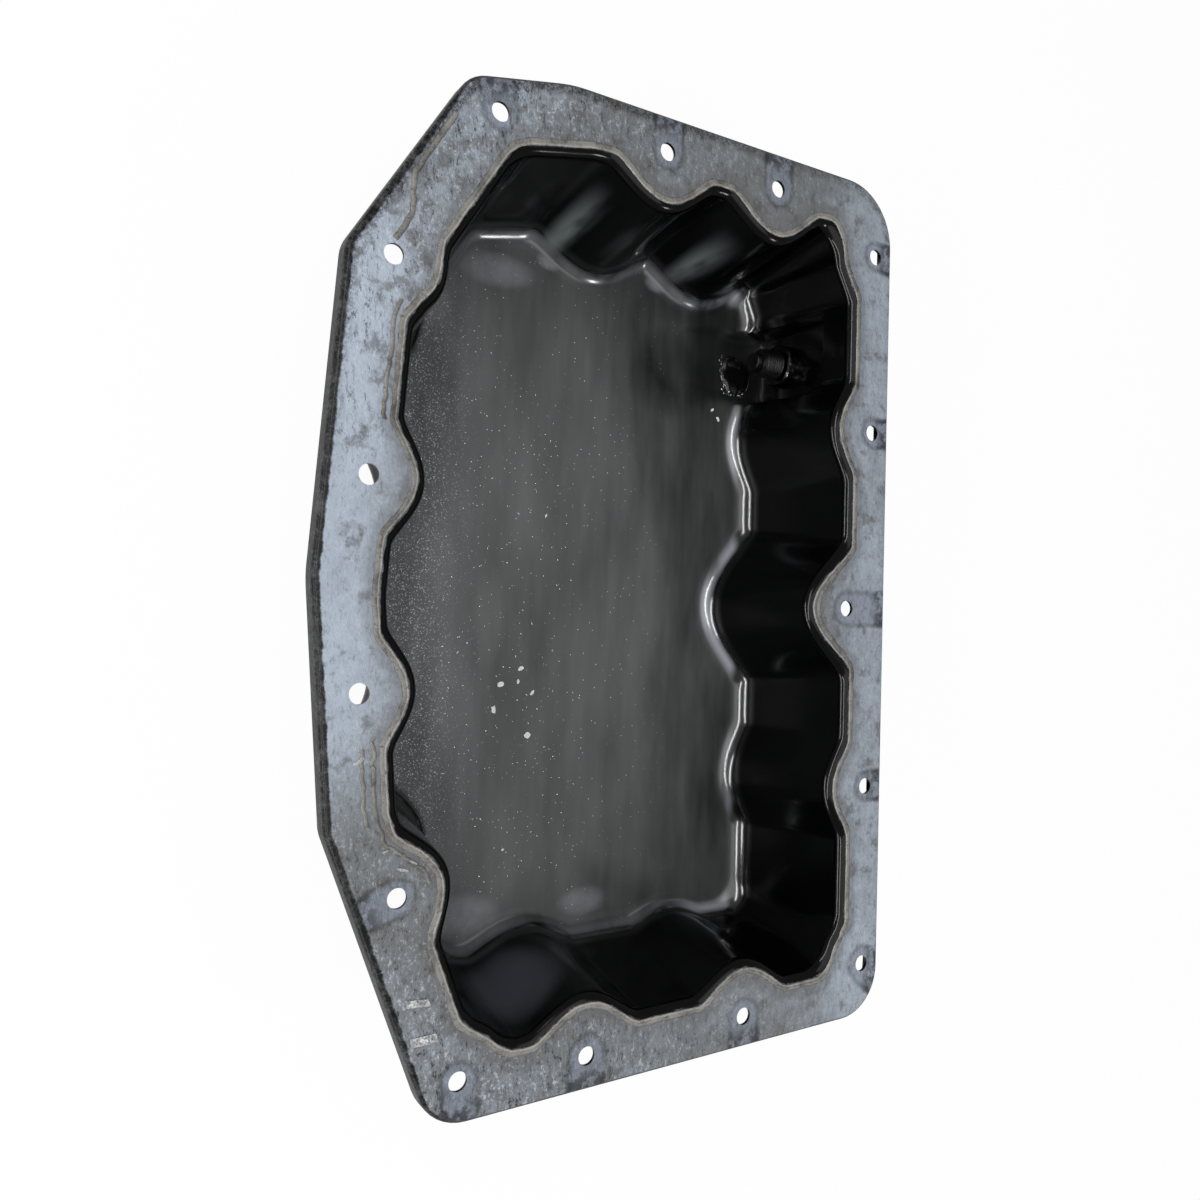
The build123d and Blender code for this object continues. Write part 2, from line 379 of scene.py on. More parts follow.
        dense = s.specks(0.7, 0.013).rise(0.42, 0.22) * near_left.rise(0.2, 0.9) * mottle.rise(0.62, 0.40)
        crumbs = s.specks(2.9, 0.02).rise(0.11, 0.05) * smear.rise(0.38, 0.6) * x.rise(70.0, 0.0)
        specks = ((tiny * 1.2 + dense * 1.2) * uneven + crumbs).least(1.0) * low
        dusty = s.blend(haze.rise(0.0, 1.2), self.black, self.floor_dust)
        dusty = s.blend(near_left * low * (0.20 + (smear - 0.5) * 0.8), dusty, self.left_dust)
        # Painted soft reflections of the lamps on the floor
        reflections = sum(x.blot(y, middle, reach) * weight for middle, reach, weight in self.reflection_blots)
        dusty = s.blend(reflections.least(1.0) * low * (0.20 + (mottle - 0.5) * 0.3), dusty, self.reflection_tint)
        dusty = s.blend(specks, dusty, self.speck)

        # Painted highlight streaks down the far wall
        sheen_streaks = x.near(-17.0, 7.0) + x.near(3.0, 6.0) * 0.6 + x.near(51.0, 9.0)
        sheen_streaks = sheen_streaks * y.rise(150.0, 158.0) * z.rise(58.0, 14.0) * z.rise(5.0, 9.0)
        sheen_streaks = sheen_streaks * s.noise(9.0, 2.0, stretch=(1.0, 1.0, 5.0)).rise(0.25, 0.6)
        dusty = s.blend(sheen_streaks * 0.85, dusty, self.streak_sheen)

        # Painted soft reflection on the near wall
        near_wall_sheen = x.blot(z, (-44.0, 36.0), (26.0, 24.0)) * y.rise(-140.0, -156.0)
        dusty = s.blend(near_wall_sheen * 0.55, dusty, self.near_wall_sheen)

        # Painted soft highlight band along the foot of the wall
        foot = z.near(self.floor_top + 2.0, 2.6) * z.rise(self.floor_top + 0.1, self.floor_top + 0.8)
        foot = foot * smear.rise(0.25, 0.60) * (1.0 - x.rise(92.0, 97.0))
        side = x.rise(58.0, 78.0) + y.rise(118.0, 140.0) * 0.45 + y.rise(-128.0, -150.0) * 0.25
        dusty = s.blend(foot * side.least(1.0) * 0.75, dusty, self.foot_highlight)
        return dusty, haze

    def material(self) -> bpy.types.Material:
        """Wire the finish.

        Returns:
            The material for the whole pressed sheet.
        """
        s = Shader("oily_black_paint")
        x, _, z = s.axes()
        gap = s.attribute("mouth_gap")
        edge = s.attribute("edge_gap")
        mottle = s.noise(6.0, 4.0, 0.66, shift=0.3)
        grain = s.noise(1.3, 3.0, 0.7)
        tint, creases, film_rough = self.film(s, mottle, grain, gap, edge, s.attribute("keyhole"))
        low = z.rise(self.floor_top + 1.2, self.floor_top + 0.1)
        dusty, haze = self.dust(s, mottle, grain, low)

        # The film stops at the bend of the mouth and short of the outer edge
        flat = z.rise(self.rim_top - 0.4, self.rim_top - 0.1)
        inner = (gap + (mottle - 0.5) * 3.0).rise(-1.2, -0.2)
        bare = 0.5 + x.rise(-70.0, -110.0) * 2.0
        outer = (edge - bare + (mottle - 0.5) * 2.4).rise(-0.3, 0.6)
        film = flat * inner * outer

        # Grime and scuffs on the lip
        side = z.rise(self.rim_top - 0.4, self.rim_top - 2.0) * edge.rise(1.0, -0.5)
        worn = (grain * 0.6 + mottle * 0.6).rise(0.52, 0.80) * edge.rise(5.0, 2.0)
        paint = s.blend(worn * 0.55, dusty, self.scuff)

        base = s.blend(film, paint, tint)
        gloss = 0.12 + (mottle - 0.5) * 0.10 + low * 0.26 + edge.rise(4.0, 1.0) * 0.30
        rough = gloss * (1.0 - film) + film * film_rough
        foot = z.rise(self.floor_top + 10.0, self.floor_top + 6.0) * (1.0 - low)
        wet = (1.0 - film) * (1.0 - side * 0.9) * (1.0 - haze.rise(0.1, 0.7) * 0.9) * (0.10 + foot * 0.90)
        relief = s.bump(creases * film + grain * worn * (1.0 - film) * 2.0, 0.26)
        return s.surface(
            Base_Color=base, Roughness=rough, Normal=relief, IOR=1.5, Specular_IOR_Level=0.2,
            Coat_Weight=wet, Coat_Roughness=0.2, Coat_IOR=1.9,
        )


@dataclass(frozen=True)
class SealantFinish:
    """Cured liquid sealant that was squeezed out along an edge."""

    name: str = "grey_sealant"
    dark: Colour = (0.060, 0.056, 0.050)
    pale: Colour = (0.25, 0.243, 0.225)
    roughness: float = 0.34
    grime: Colour = (0.03, 0.03, 0.03)

    def material(self) -> bpy.types.Material:
        """Wire the finish.

        Returns:
            The material for the beads.
        """
        s = Shader(self.name)
        cloud = s.noise(9.0, 4.0, 0.6)
        grain = s.noise(1.0, 3.0, 0.7)
        streak = s.noise(2.4, 4.0, 0.7, shift=1.0, distortion=1.0)
        base = s.blend((cloud + grain * 0.35 + (streak - 0.5) * 0.8).rise(0.35, 0.85), self.dark, self.pale)
        base = s.blend(streak.rise(0.55, 0.66) * 0.75, base, self.grime)
        rough = self.roughness + (grain - 0.5) * 0.3
        return s.surface(Base_Color=base, Roughness=rough, Normal=s.bump(grain + streak, 0.16), IOR=1.45)


@dataclass(frozen=True)
class MetalFinish:
    """Bare or plated metal with oil in its hollows."""

    name: str
    bright: Colour = (0.55, 0.55, 0.53)
    oily: Colour = (0.06, 0.055, 0.05)
    oil: float = 0.5
    metallic: float = 1.0
    roughness: float = 0.2
    root_radius: float = 0.0
    root_wet: tuple[float, float] = (0.44, 0.20)
    axis_y: float = 117.5
    axis_z: float = 19.5

    def material(self) -> bpy.types.Material:
        """Wire the finish.

        Returns:
            The metal's material.
        """
        s = Shader(self.name)
        cloud = s.noise(3.0, 4.0, 0.65)
        grain = s.noise(0.5, 3.0, 0.7)
        wet = (cloud + (grain - 0.5) * 0.5 + (self.oil - 0.5)).rise(0.42, 0.62)
        if self.root_radius:
            _, y, z = s.axes()
            aside, above = y - self.axis_y, z - self.axis_z
            across = (aside * aside + above * above).maths("SQRT")
            dry, soaked = (self.root_radius + extra for extra in self.root_wet)
            wet = wet.most(across.rise(dry, soaked))
        base = s.blend(wet, self.bright, self.oily)
        rough = self.roughness + (grain - 0.5) * 0.12
        relief = s.bump(grain, 0.025)
        return s.surface(Base_Color=base, Metallic=self.metallic, Roughness=rough, Normal=relief)


@dataclass(frozen=True)
class SpeckFinish:
    """Small loose bits on the floor of the pan."""

    name: str
    colour: Colour
    other: Colour
    roughness: float
    metallic: float = 0.0

    def material(self) -> bpy.types.Material:
        """Wire the finish."""
        s = Shader(self.name)
        grain = s.noise(0.8, 3.0, 0.7)
        base = s.blend(grain.rise(0.35, 0.7), self.colour, self.other)
        rough = self.roughness + (grain - 0.5) * 0.2
        return s.surface(Base_Color=base, Roughness=rough, Metallic=self.metallic)


@dataclass(frozen=True)
class OilFinish:
    """Used engine oil, black and still wet."""

    colour: Colour = (0.003, 0.003, 0.003)
    thin: Colour = (0.012, 0.008, 0.006)

    def material(self) -> bpy.types.Material:
        """Wire the finish."""
        s = Shader("used_oil")
        cloud = s.noise(3.0, 3.0, 0.6)
        base = s.blend(cloud.rise(0.5, 0.75) * 0.4, self.colour, self.thin)
        relief = s.bump(cloud, 0.15)
        rough = 0.06 + cloud * 0.05
        return s.surface(Base_Color=base, Roughness=rough, Normal=relief, IOR=1.47, Coat_Weight=0.5)


# Mesh helpers


class MeshDraft:
    """Vertices and faces that are gathered before a mesh is made."""

    def __init__(self) -> None:
        """Start with nothing."""
        self.points: list[np.ndarray] = []
        self.count = 0
        self.faces: list[tuple[int, ...]] = []

    def add(self, points: np.ndarray) -> np.ndarray:
        """Take in points."""
        self.points.append(np.asarray(points, dtype=float))
        numbers = np.arange(self.count, self.count + len(points))
        self.count += len(points)
        return numbers

    def band(self, first: np.ndarray, second: np.ndarray, closed: bool = True,
             skip: set[int] | None = None) -> None:
        """Quads between two rows of the same length."""
        count = len(first)
        for index in range(count if closed else count - 1):
            if skip and index in skip:
                continue
            after = (index + 1) % count
            self.faces.append((int(first[index]), int(first[after]), int(second[after]), int(second[index])))

    def bands(self, rows: Sequence[np.ndarray], closed: bool = True) -> None:
        """Quads between each row and the next."""
        for first, second in zip(rows, rows[1:]):
            self.band(first, second, closed)

    def cap(self, numbers: Iterable[int]) -> None:
        """One face over a row."""
        self.faces.append(tuple(int(number) for number in numbers))

    def triangles(self, numbers: np.ndarray, corners: Iterable[Sequence[int]], turned: bool = False) -> None:
        """Triangles over points that are already in the draft."""
        for corner in corners:
            triple = [int(numbers[index]) for index in corner]
            self.faces.append(tuple(reversed(triple)) if turned else tuple(triple))

    def coordinates(self) -> np.ndarray:
        """All points in one array, in millimetres."""
        return np.concatenate(self.points)

    def build(self, name: str, material: bpy.types.Material, sharp: float = 50.0) -> bpy.types.Object:
        """Make the object.

        Args:
            name: the piece's name.
            material: its finish.
            sharp: faces that meet at more degrees than this show an edge.

        Returns:
            The new object at the origin.
        """
        mesh = bpy.data.meshes.new(name)
        mesh.from_pydata((self.coordinates() * MM).tolist(), [], self.faces)
        mesh.validate()
        mesh.polygons.foreach_set("use_smooth", [True] * len(mesh.polygons))
        mesh.set_sharp_from_angle(angle=math.radians(sharp))
        mesh.materials.append(material)
        piece = bpy.data.objects.new(name, mesh)
        bpy.context.scene.collection.objects.link(piece)
        return piece


def inside(points: np.ndarray, loop: np.ndarray) -> np.ndarray:
    """Which points lie inside a closed outline.

    Args:
        points: rows of two coordinates.
        loop: the outline's corners.

    Returns:
        One truth value for each point.
    """
    after = np.roll(loop, -1, axis=0)
    odd = np.zeros(len(points), dtype=bool)
    for (x1, y1), (x2, y2) in zip(loop, after):
        crosses = (y1 > points[:, 1]) != (y2 > points[:, 1])
        if y1 != y2:
            odd ^= crosses & (points[:, 0] < (x2 - x1) * (points[:, 1] - y1) / (y2 - y1) + x1)
    return odd


def gap_to(points: np.ndarray, loop: np.ndarray) -> np.ndarray:
    """Distance from points to a closed outline."""
    nearest = np.full(len(points), np.inf)
    for start, end in zip(loop, np.roll(loop, -1, axis=0)):
        along = end - start
        share = np.clip((points - start) @ along / max(along @ along, 1e-12), 0.0, 1.0)
        nearest = np.minimum(nearest, np.linalg.norm(points - start - share[:, None] * along, axis=1))
    return nearest


def flat_fill(loops: list[np.ndarray], extra: np.ndarray) -> list[tuple[int, int, int]]:
    """Triangles over a flat region with holes.

    Args:
        loops: the outer outline first, then the outlines of the holes.
        extra: points within the region.

    Returns:
        Triples that number the loops' points in order and then the extra points, anticlockwise.
    """
    everything = np.concatenate([*loops, extra]) if len(extra) else np.concatenate(loops)
    edges: list[tuple[int, int]] = []
    within: set[tuple[int, int]] = set()
    start = 0
    for number, loop in enumerate(loops):
        pairs = [(start + index, start + (index + 1) % len(loop)) for index in range(len(loop))]
        edges += pairs
        after = np.roll(loop, -1, axis=0)
        anticlockwise = (loop[:, 0] * after[:, 1] - after[:, 0] * loop[:, 1]).sum() > 0
        within |= set(pairs) if anticlockwise == (number == 0) else {pair[::-1] for pair in pairs}
        start += len(loop)
    points, _, faces, sources, _, _ = delaunay_2d_cdt(
        [Vector((float(x), float(y))) for x, y in everything], edges, [], 0, 1e-6
    )
    own = [source[0] for source in sources]
    centres = np.array([
        sum((points[index] for index in face), Vector((0.0, 0.0))) / len(face) for face in faces
    ])
    keep = inside(centres, loops[0])
    for loop in loops[1:]:
        keep &= ~inside(centres, loop)
    kept_faces = []
    for face, kept in zip(faces, keep):
        corners = tuple(own[index] for index in face)
        sides = list(zip(corners, corners[1:] + corners[:1]))
        if any(side in within for side in sides):
            kept_faces.append(corners)
        elif kept and not any(side[::-1] in within for side in sides):
            kept_faces.append(corners)
    return kept_faces


def scattered(loops: list[np.ndarray], spacing: float, clearance: float, seed: int) -> np.ndarray:
    """Uneven grid of points within a region.

    Args:
        loops: the outer outline first, then the outlines of the holes.
        spacing: distance between points.
        clearance: least distance from any outline.
        seed: fixes the unevenness.

    Returns:
        Rows of two coordinates.
    """
    low, high = loops[0].min(axis=0), loops[0].max(axis=0)
    rows = np.arange(low[1], high[1], spacing * 0.87)
    grid = np.array([
        (x + (row % 2) * spacing / 2, y)
        for row, y in enumerate(rows)
        for x in np.arange(low[0], high[0], spacing)
    ])
    grid += np.random.default_rng(seed).uniform(-0.18, 0.18, grid.shape) * spacing
    grid = grid[inside(grid, loops[0])]
    for loop in loops[1:]:
        grid = grid[~inside(grid, loop)]
    for loop in loops:
        grid = grid[gap_to(grid, loop) > clearance]
    return grid


def smooth_step(share: np.ndarray | float) -> np.ndarray | float:
    """Soft step of numbers held between 0 and 1."""
    held = np.clip(share, 0.0, 1.0)
    return held * held * (3.0 - 2.0 * held)


def dressed(piece: bpy.types.Object) -> bpy.types.Object:
    """Put something that lies on the pan on the pan's body."""
    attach(piece, Body.PAN.value)
    LOG.info("%s: %d faces", piece.name, len(piece.data.polygons))
    return piece


# The pressed sheet


@dataclass(frozen=True)
class Land:
    """A bolt hole and the land that the wall leaves round it."""

    x: float
    y: float
    radius: float = 20.5
    lean: float = 9.0


@dataclass(frozen=True)
class Stretch2D:
    """One arc or line of an outline."""

    length: float
    start: tuple[float, float]
    heading: float
    curvature: float

    def walk(self, distance: float) -> tuple[float, float, float, float]:
        """Place and inward direction at a distance along the stretch.

        Args:
            distance: how far along.

        Returns:
            The place's x and y and the direction's x and y.
        """
        x, y = self.start
        turned = self.heading + self.curvature * distance
        if self.curvature:
            x += (math.sin(turned) - math.sin(self.heading)) / self.curvature
            y -= (math.cos(turned) - math.cos(self.heading)) / self.curvature
        else:
            x += distance * math.cos(self.heading)
            y += distance * math.sin(self.heading)
        return x, y, -math.sin(turned), math.cos(turned)


@dataclass
class PanForm:
    """Outlines of the pan at every level, by the same rules as its solid."""

    sheet: float = 1.5
    rim_top: float = 65.5
    floor_top: float = 3.5
    well_top: float = 1.5
    lip_height: float = 8.0
    lip_waist: float = 5.5
    edge_radius: float = 2.0
    mouth_radius: float = 4.5
    floor_radius: float = 8.0
    hole_radius: float = 3.75
    land_blend: float = 10.0
    mouth_corner: float = 20.0
    floor_corner: float = 12.0
    corners: tuple[tuple[float, float, float], ...] = (
        (138.0, 197.0, 28.0),
        (-41.0, 197.0, 60.0),
        (-84.0, 188.0, 15.0),
        (-129.0, 117.0, 14.0),
        (-138.0, 2.0, 60.0),
        (-131.5, -86.5, 14.0),
        (-90.0, -197.0, 20.0),
        (138.0, -197.0, 22.0),
    )
    widths: tuple[float, ...] = (22.0, 24.0, 26.5, 23.5, 22.5, 22.5, 22.0, 22.0)
    leans: tuple[float, ...] = (9.0, 9.0, 9.0, 1.0, 1.0, 9.0, 12.5, 10.0)
    lands: tuple[Land, ...] = (
        Land(127.0, 163.5, lean=6.0),
        Land(65.0, 181.3),
        Land(4.5, 182.0),
        Land(-72.0, 177.0, 0.0, 0.0),
        Land(-112.0, 115.5, 17.5),
        Land(-119.0, 37.5, 17.5, 1.0),
        Land(-120.5, -38.5, 17.5, 1.0),
        Land(-105.0, -111.0, 17.5),
        Land(-80.0, -181.0, 17.5),
        Land(-25.0, -183.5),
        Land(55.0, -183.5, lean=6.0),
        Land(127.0, -172.5, lean=2.0),
        Land(127.0, -88.5),
        Land(112.5, -4.5),
        Land(127.0, 79.5),
    )
    drain_y: float = 117.5
    drain_z: float = 19.5
    pad_x: float = 113.0
    pad_half_width: float = 17.0
    pad_top: float = 49.5
    pad_step: float = 1.5
    wall_levels: tuple[float, ...] = (
        58.0, 54.5, 51.5, 50.3, 49.9, 49.5, 49.1, 48.7, 48.3, 47.9, 47.3, 44.0, 40.0, 36.0, 32.0, 28.5, 25.0,
        21.0, 17.0, 14.0,
    )
    side_blend: float = 1.6
    well_radius: float = 3.0
    tongue_x: float = 57.0
    tongue_radius: float = 12.0
    pad_corner: float = 5.0
    drain_hole_radius: float = 7.5
    gap: float = 2.0
    rim_gap: float = 3.0

    def outline(self, insets: Sequence[float], least: float) -> list[Stretch2D]:
        """Rounded outline of the rim with each side moved in.

        Args:
            insets: how far each side moves.
            least: smallest corner radius.

        Returns:
            Arcs and lines in turn, anticlockwise.
        """
        count = len(self.corners)
        sides = []
        for index, (x, y, _) in enumerate(self.corners):
            next_x, next_y, _ = self.corners[(index + 1) % count]
            heading = math.atan2(next_y - y, next_x - x)
            ahead_x, ahead_y = math.cos(heading), math.sin(heading)
            sides.append((x - ahead_y * insets[index], y + ahead_x * insets[index], ahead_x, ahead_y))
        moved = []
        for index in range(count):
            ax, ay, atx, aty = sides[index - 1]
            bx, by, btx, bty = sides[index]
            along = ((bx - ax) * bty - (by - ay) * btx) / (atx * bty - aty * btx)
            radius = max(self.corners[index][2] - insets[index], least)
            moved.append((ax + atx * along, ay + aty * along, radius))
        ends = []
        for index, (x, y, radius) in enumerate(moved):
            before, after = moved[index - 1], moved[(index + 1) % count]
            heading_in = math.atan2(y - before[1], x - before[0])
            heading_out = math.atan2(after[1] - y, after[0] - x)
            turn = (heading_out - heading_in + math.pi) % (2 * math.pi) - math.pi
            tangent = radius * math.tan(turn / 2)
            start = (x - tangent * math.cos(heading_in), y - tangent * math.sin(heading_in))
            end = (x + tangent * math.cos(heading_out), y + tangent * math.sin(heading_out))
            ends.append((start, end, heading_in, heading_out, radius * turn, 1 / radius))
        stretches = []
        for index, (start, end, heading_in, heading_out, length, curvature) in enumerate(ends):
            next_start = ends[(index + 1) % count][0]
            stretches.append(Stretch2D(length, start, heading_in, curvature))
            stretches.append(Stretch2D(math.dist(end, next_start), end, heading_out, 0.0))
        return stretches

    def bowl_outline(self, inset: float, share: float) -> list[Stretch2D]:
        """Outline of the wall at one level, before the lands push into it."""
        insets = [width + inset + lean * share for width, lean in zip(self.widths, self.leans)]
        return self.outline(insets, self.mouth_corner + (self.floor_corner - self.mouth_corner) * share)

    def bowl_places(self) -> list[tuple[int, float]]:
        """Where the wall is sampled.

        Returns:
            The number of a stretch and the share of its length, closer together beside the drain pad.
        """
        places = []
        for number, stretch in enumerate(self.bowl_outline(0.0, 0.0)):
            steps = max(round(stretch.length / self.gap), 3)
            shares = {step / steps for step in range(steps)}
            if number == len(self.corners) * 2 - 1:
                start_y = stretch.start[1]
                for side in (-1, 1):
                    middle = self.drain_y + side * self.pad_half_width
                    shares |= {(middle - start_y + shift / 2) / stretch.length for shift in range(-9, 10)}
            places += [(number, share) for share in sorted(shares)]
        return places

    def bowl_ring(self, inset: float, z: float, mouth: float | None = None) -> np.ndarray:
        """Ring of points round the wall.

        Args:
            inset: how far the bends have carried the wall inwards.
            z: the ring's height.
            mouth: height at which the wall's lean starts.

        Returns:
            Rows of x, y and z.
        """
        mouth = self.rim_top - self.mouth_radius if mouth is None else mouth
        share = min(max((mouth - z) / (mouth - self.floor_top), 0.0), 1.0)
        outline = self.bowl_outline(inset, share)
        places = self.bowl_places()
        walked = np.array([outline[number].walk(outline[number].length * part) for number, part in places])
        points, inwards = walked[:, :2], walked[:, 2:]
        squares = np.zeros(len(points))
        for land in self.lands:
            if not land.radius:
                continue
            reach = land.radius + inset + land.lean * share
            offset = np.array((land.x, land.y)) - points
            ahead = (offset * inwards).sum(axis=1)
            aside = offset[:, 0] * inwards[:, 1] - offset[:, 1] * inwards[:, 0]
            width = (reach + self.land_blend) ** 2 - (self.land_blend - np.minimum(ahead, 0.0)) ** 2
            bell = np.where(width > aside**2, 1.0 - aside**2 / np.where(width > 0, width, 1.0), 0.0) ** 1.5
            behind = smooth_step(1.5 - 3.0 * ahead / reach)
            squares += (np.maximum(ahead + reach, 0.0) * behind * bell) ** 2
        points = points + inwards * np.sqrt(squares)[:, None]
        return np.column_stack([points, np.full(len(points), z)])

    def rim_ring(self, inset: float, z: float) -> np.ndarray:
        """Ring of points round the rim's outer edge, moved in by an inset."""
        count = len(self.corners)
        steps = [max(round(stretch.length / self.rim_gap), 5) for stretch in self.outline([0.0] * count, 1.0)]
        outline = self.outline([inset] * count, 1.0)
        walked = [
            stretch.walk(stretch.length * step / parts)[:2]
            for stretch, parts in zip(outline, steps)
            for step in range(parts)
        ]
        return np.column_stack([np.array(walked), np.full(len(walked), z)])

    def hole_rings(self) -> list[np.ndarray]:
        """Edge of each bolt hole, clockwise."""
        angles = -np.arange(32) * (2 * math.pi / 32)
        circle = self.hole_radius * np.column_stack([np.cos(angles), np.sin(angles)])
        return [circle + (land.x, land.y) for land in self.lands]

    def tongue_gap(self, points: np.ndarray) -> np.ndarray:
        """Signed distance to the edge of the drain tongue, below 0 inside it.

        Args:
            points: rows of x and y.

        Returns:
            The distances.
        """
        far_x = self.pad_x - self.pad_corner - self.tongue_x
        far_y = self.pad_half_width - self.pad_corner
        tilt = math.atan2(far_y, far_x)
        tilt += math.acos((self.tongue_radius - self.pad_corner) / math.hypot(far_x, far_y))
        normal = np.array((math.cos(tilt), math.sin(tilt)))
        local = np.column_stack([points[:, 0] - self.tongue_x, np.abs(points[:, 1] - self.drain_y)])
        line = local @ normal - self.tongue_radius
        along = local @ np.array((normal[1], -normal[0]))
        return np.where(along < 0, np.linalg.norm(local, axis=1) - self.tongue_radius, line)

    def rows(self, skin: float) -> list[np.ndarray]:
        """Rings of the bowl from the rim's flat down to the edge of the floor.

        Args:
            skin: 0 for the inside and the sheet's thickness for the outside.

        Returns:
            One ring for each row, with the drain pad pressed into them.
        """
        mouth_radius, foot_radius = self.mouth_radius - skin, self.floor_radius + skin
        mouth_z, foot_z = self.rim_top - self.mouth_radius, self.floor_top + self.floor_radius
        pad_x, pad_radius = self.pad_x + skin, self.well_radius + skin
        pad_foot_z = self.well_top + self.well_radius
        plan = []
        for angle in np.linspace(0.0, math.pi / 2, 8):
            plan.append((mouth_radius * math.sin(angle), mouth_z + mouth_radius * math.cos(angle), None))
        for z in (*self.wall_levels, foot_z):
            plan.append((mouth_radius, z, (pad_x, z)))
        for turned in np.linspace(0.0, 1.0, 10)[1:]:
            angle = turned * math.pi / 2
            inset = mouth_radius + foot_radius * (1 - math.cos(angle))
            if turned < 0.5:
                pad = (pad_x, foot_z - (foot_z - pad_foot_z) * turned * 2)
            else:
                bend = (turned - 0.5) * math.pi
                pad = (pad_x - pad_radius * (1 - math.cos(bend)), pad_foot_z - pad_radius * math.sin(bend))
            plan.append((inset, foot_z - foot_radius * math.sin(angle), pad))
        rings = []
        for inset, z, pad in plan:
            ring = self.bowl_ring(inset, z, mouth_z)
            if pad is not None:
                target_x, target_z = pad
                aside = np.abs(ring[:, 1] - self.drain_y) - self.pad_half_width - skin
                share = smooth_step(0.5 - aside / (2 * self.side_blend)) * (ring[:, 0] > self.tongue_x)
                share = share * smooth_step((self.pad_top + skin - z) / self.pad_step)
                ring[:, 0] += (target_x - ring[:, 0]) * share
                ring[:, 2] += (target_z - ring[:, 2]) * share
            rings.append(ring)
        return rings

    def lip_rows(self, skin: float) -> list[np.ndarray]:
        """Rings from the lip's lower edge up and over the bend to the rim's flat."""
        radius = self.edge_radius - skin
        centre_z = self.rim_top - self.edge_radius
        levels = (self.rim_top - self.lip_height, self.rim_top - self.lip_waist, centre_z)
        rings = [self.rim_ring(skin, z) for z in levels]
        for angle in np.linspace(0.0, math.pi / 2, 7)[1:]:
            inset = self.edge_radius - radius * math.cos(angle)
            rings.append(self.rim_ring(inset, centre_z + radius * math.sin(angle)))
        return rings


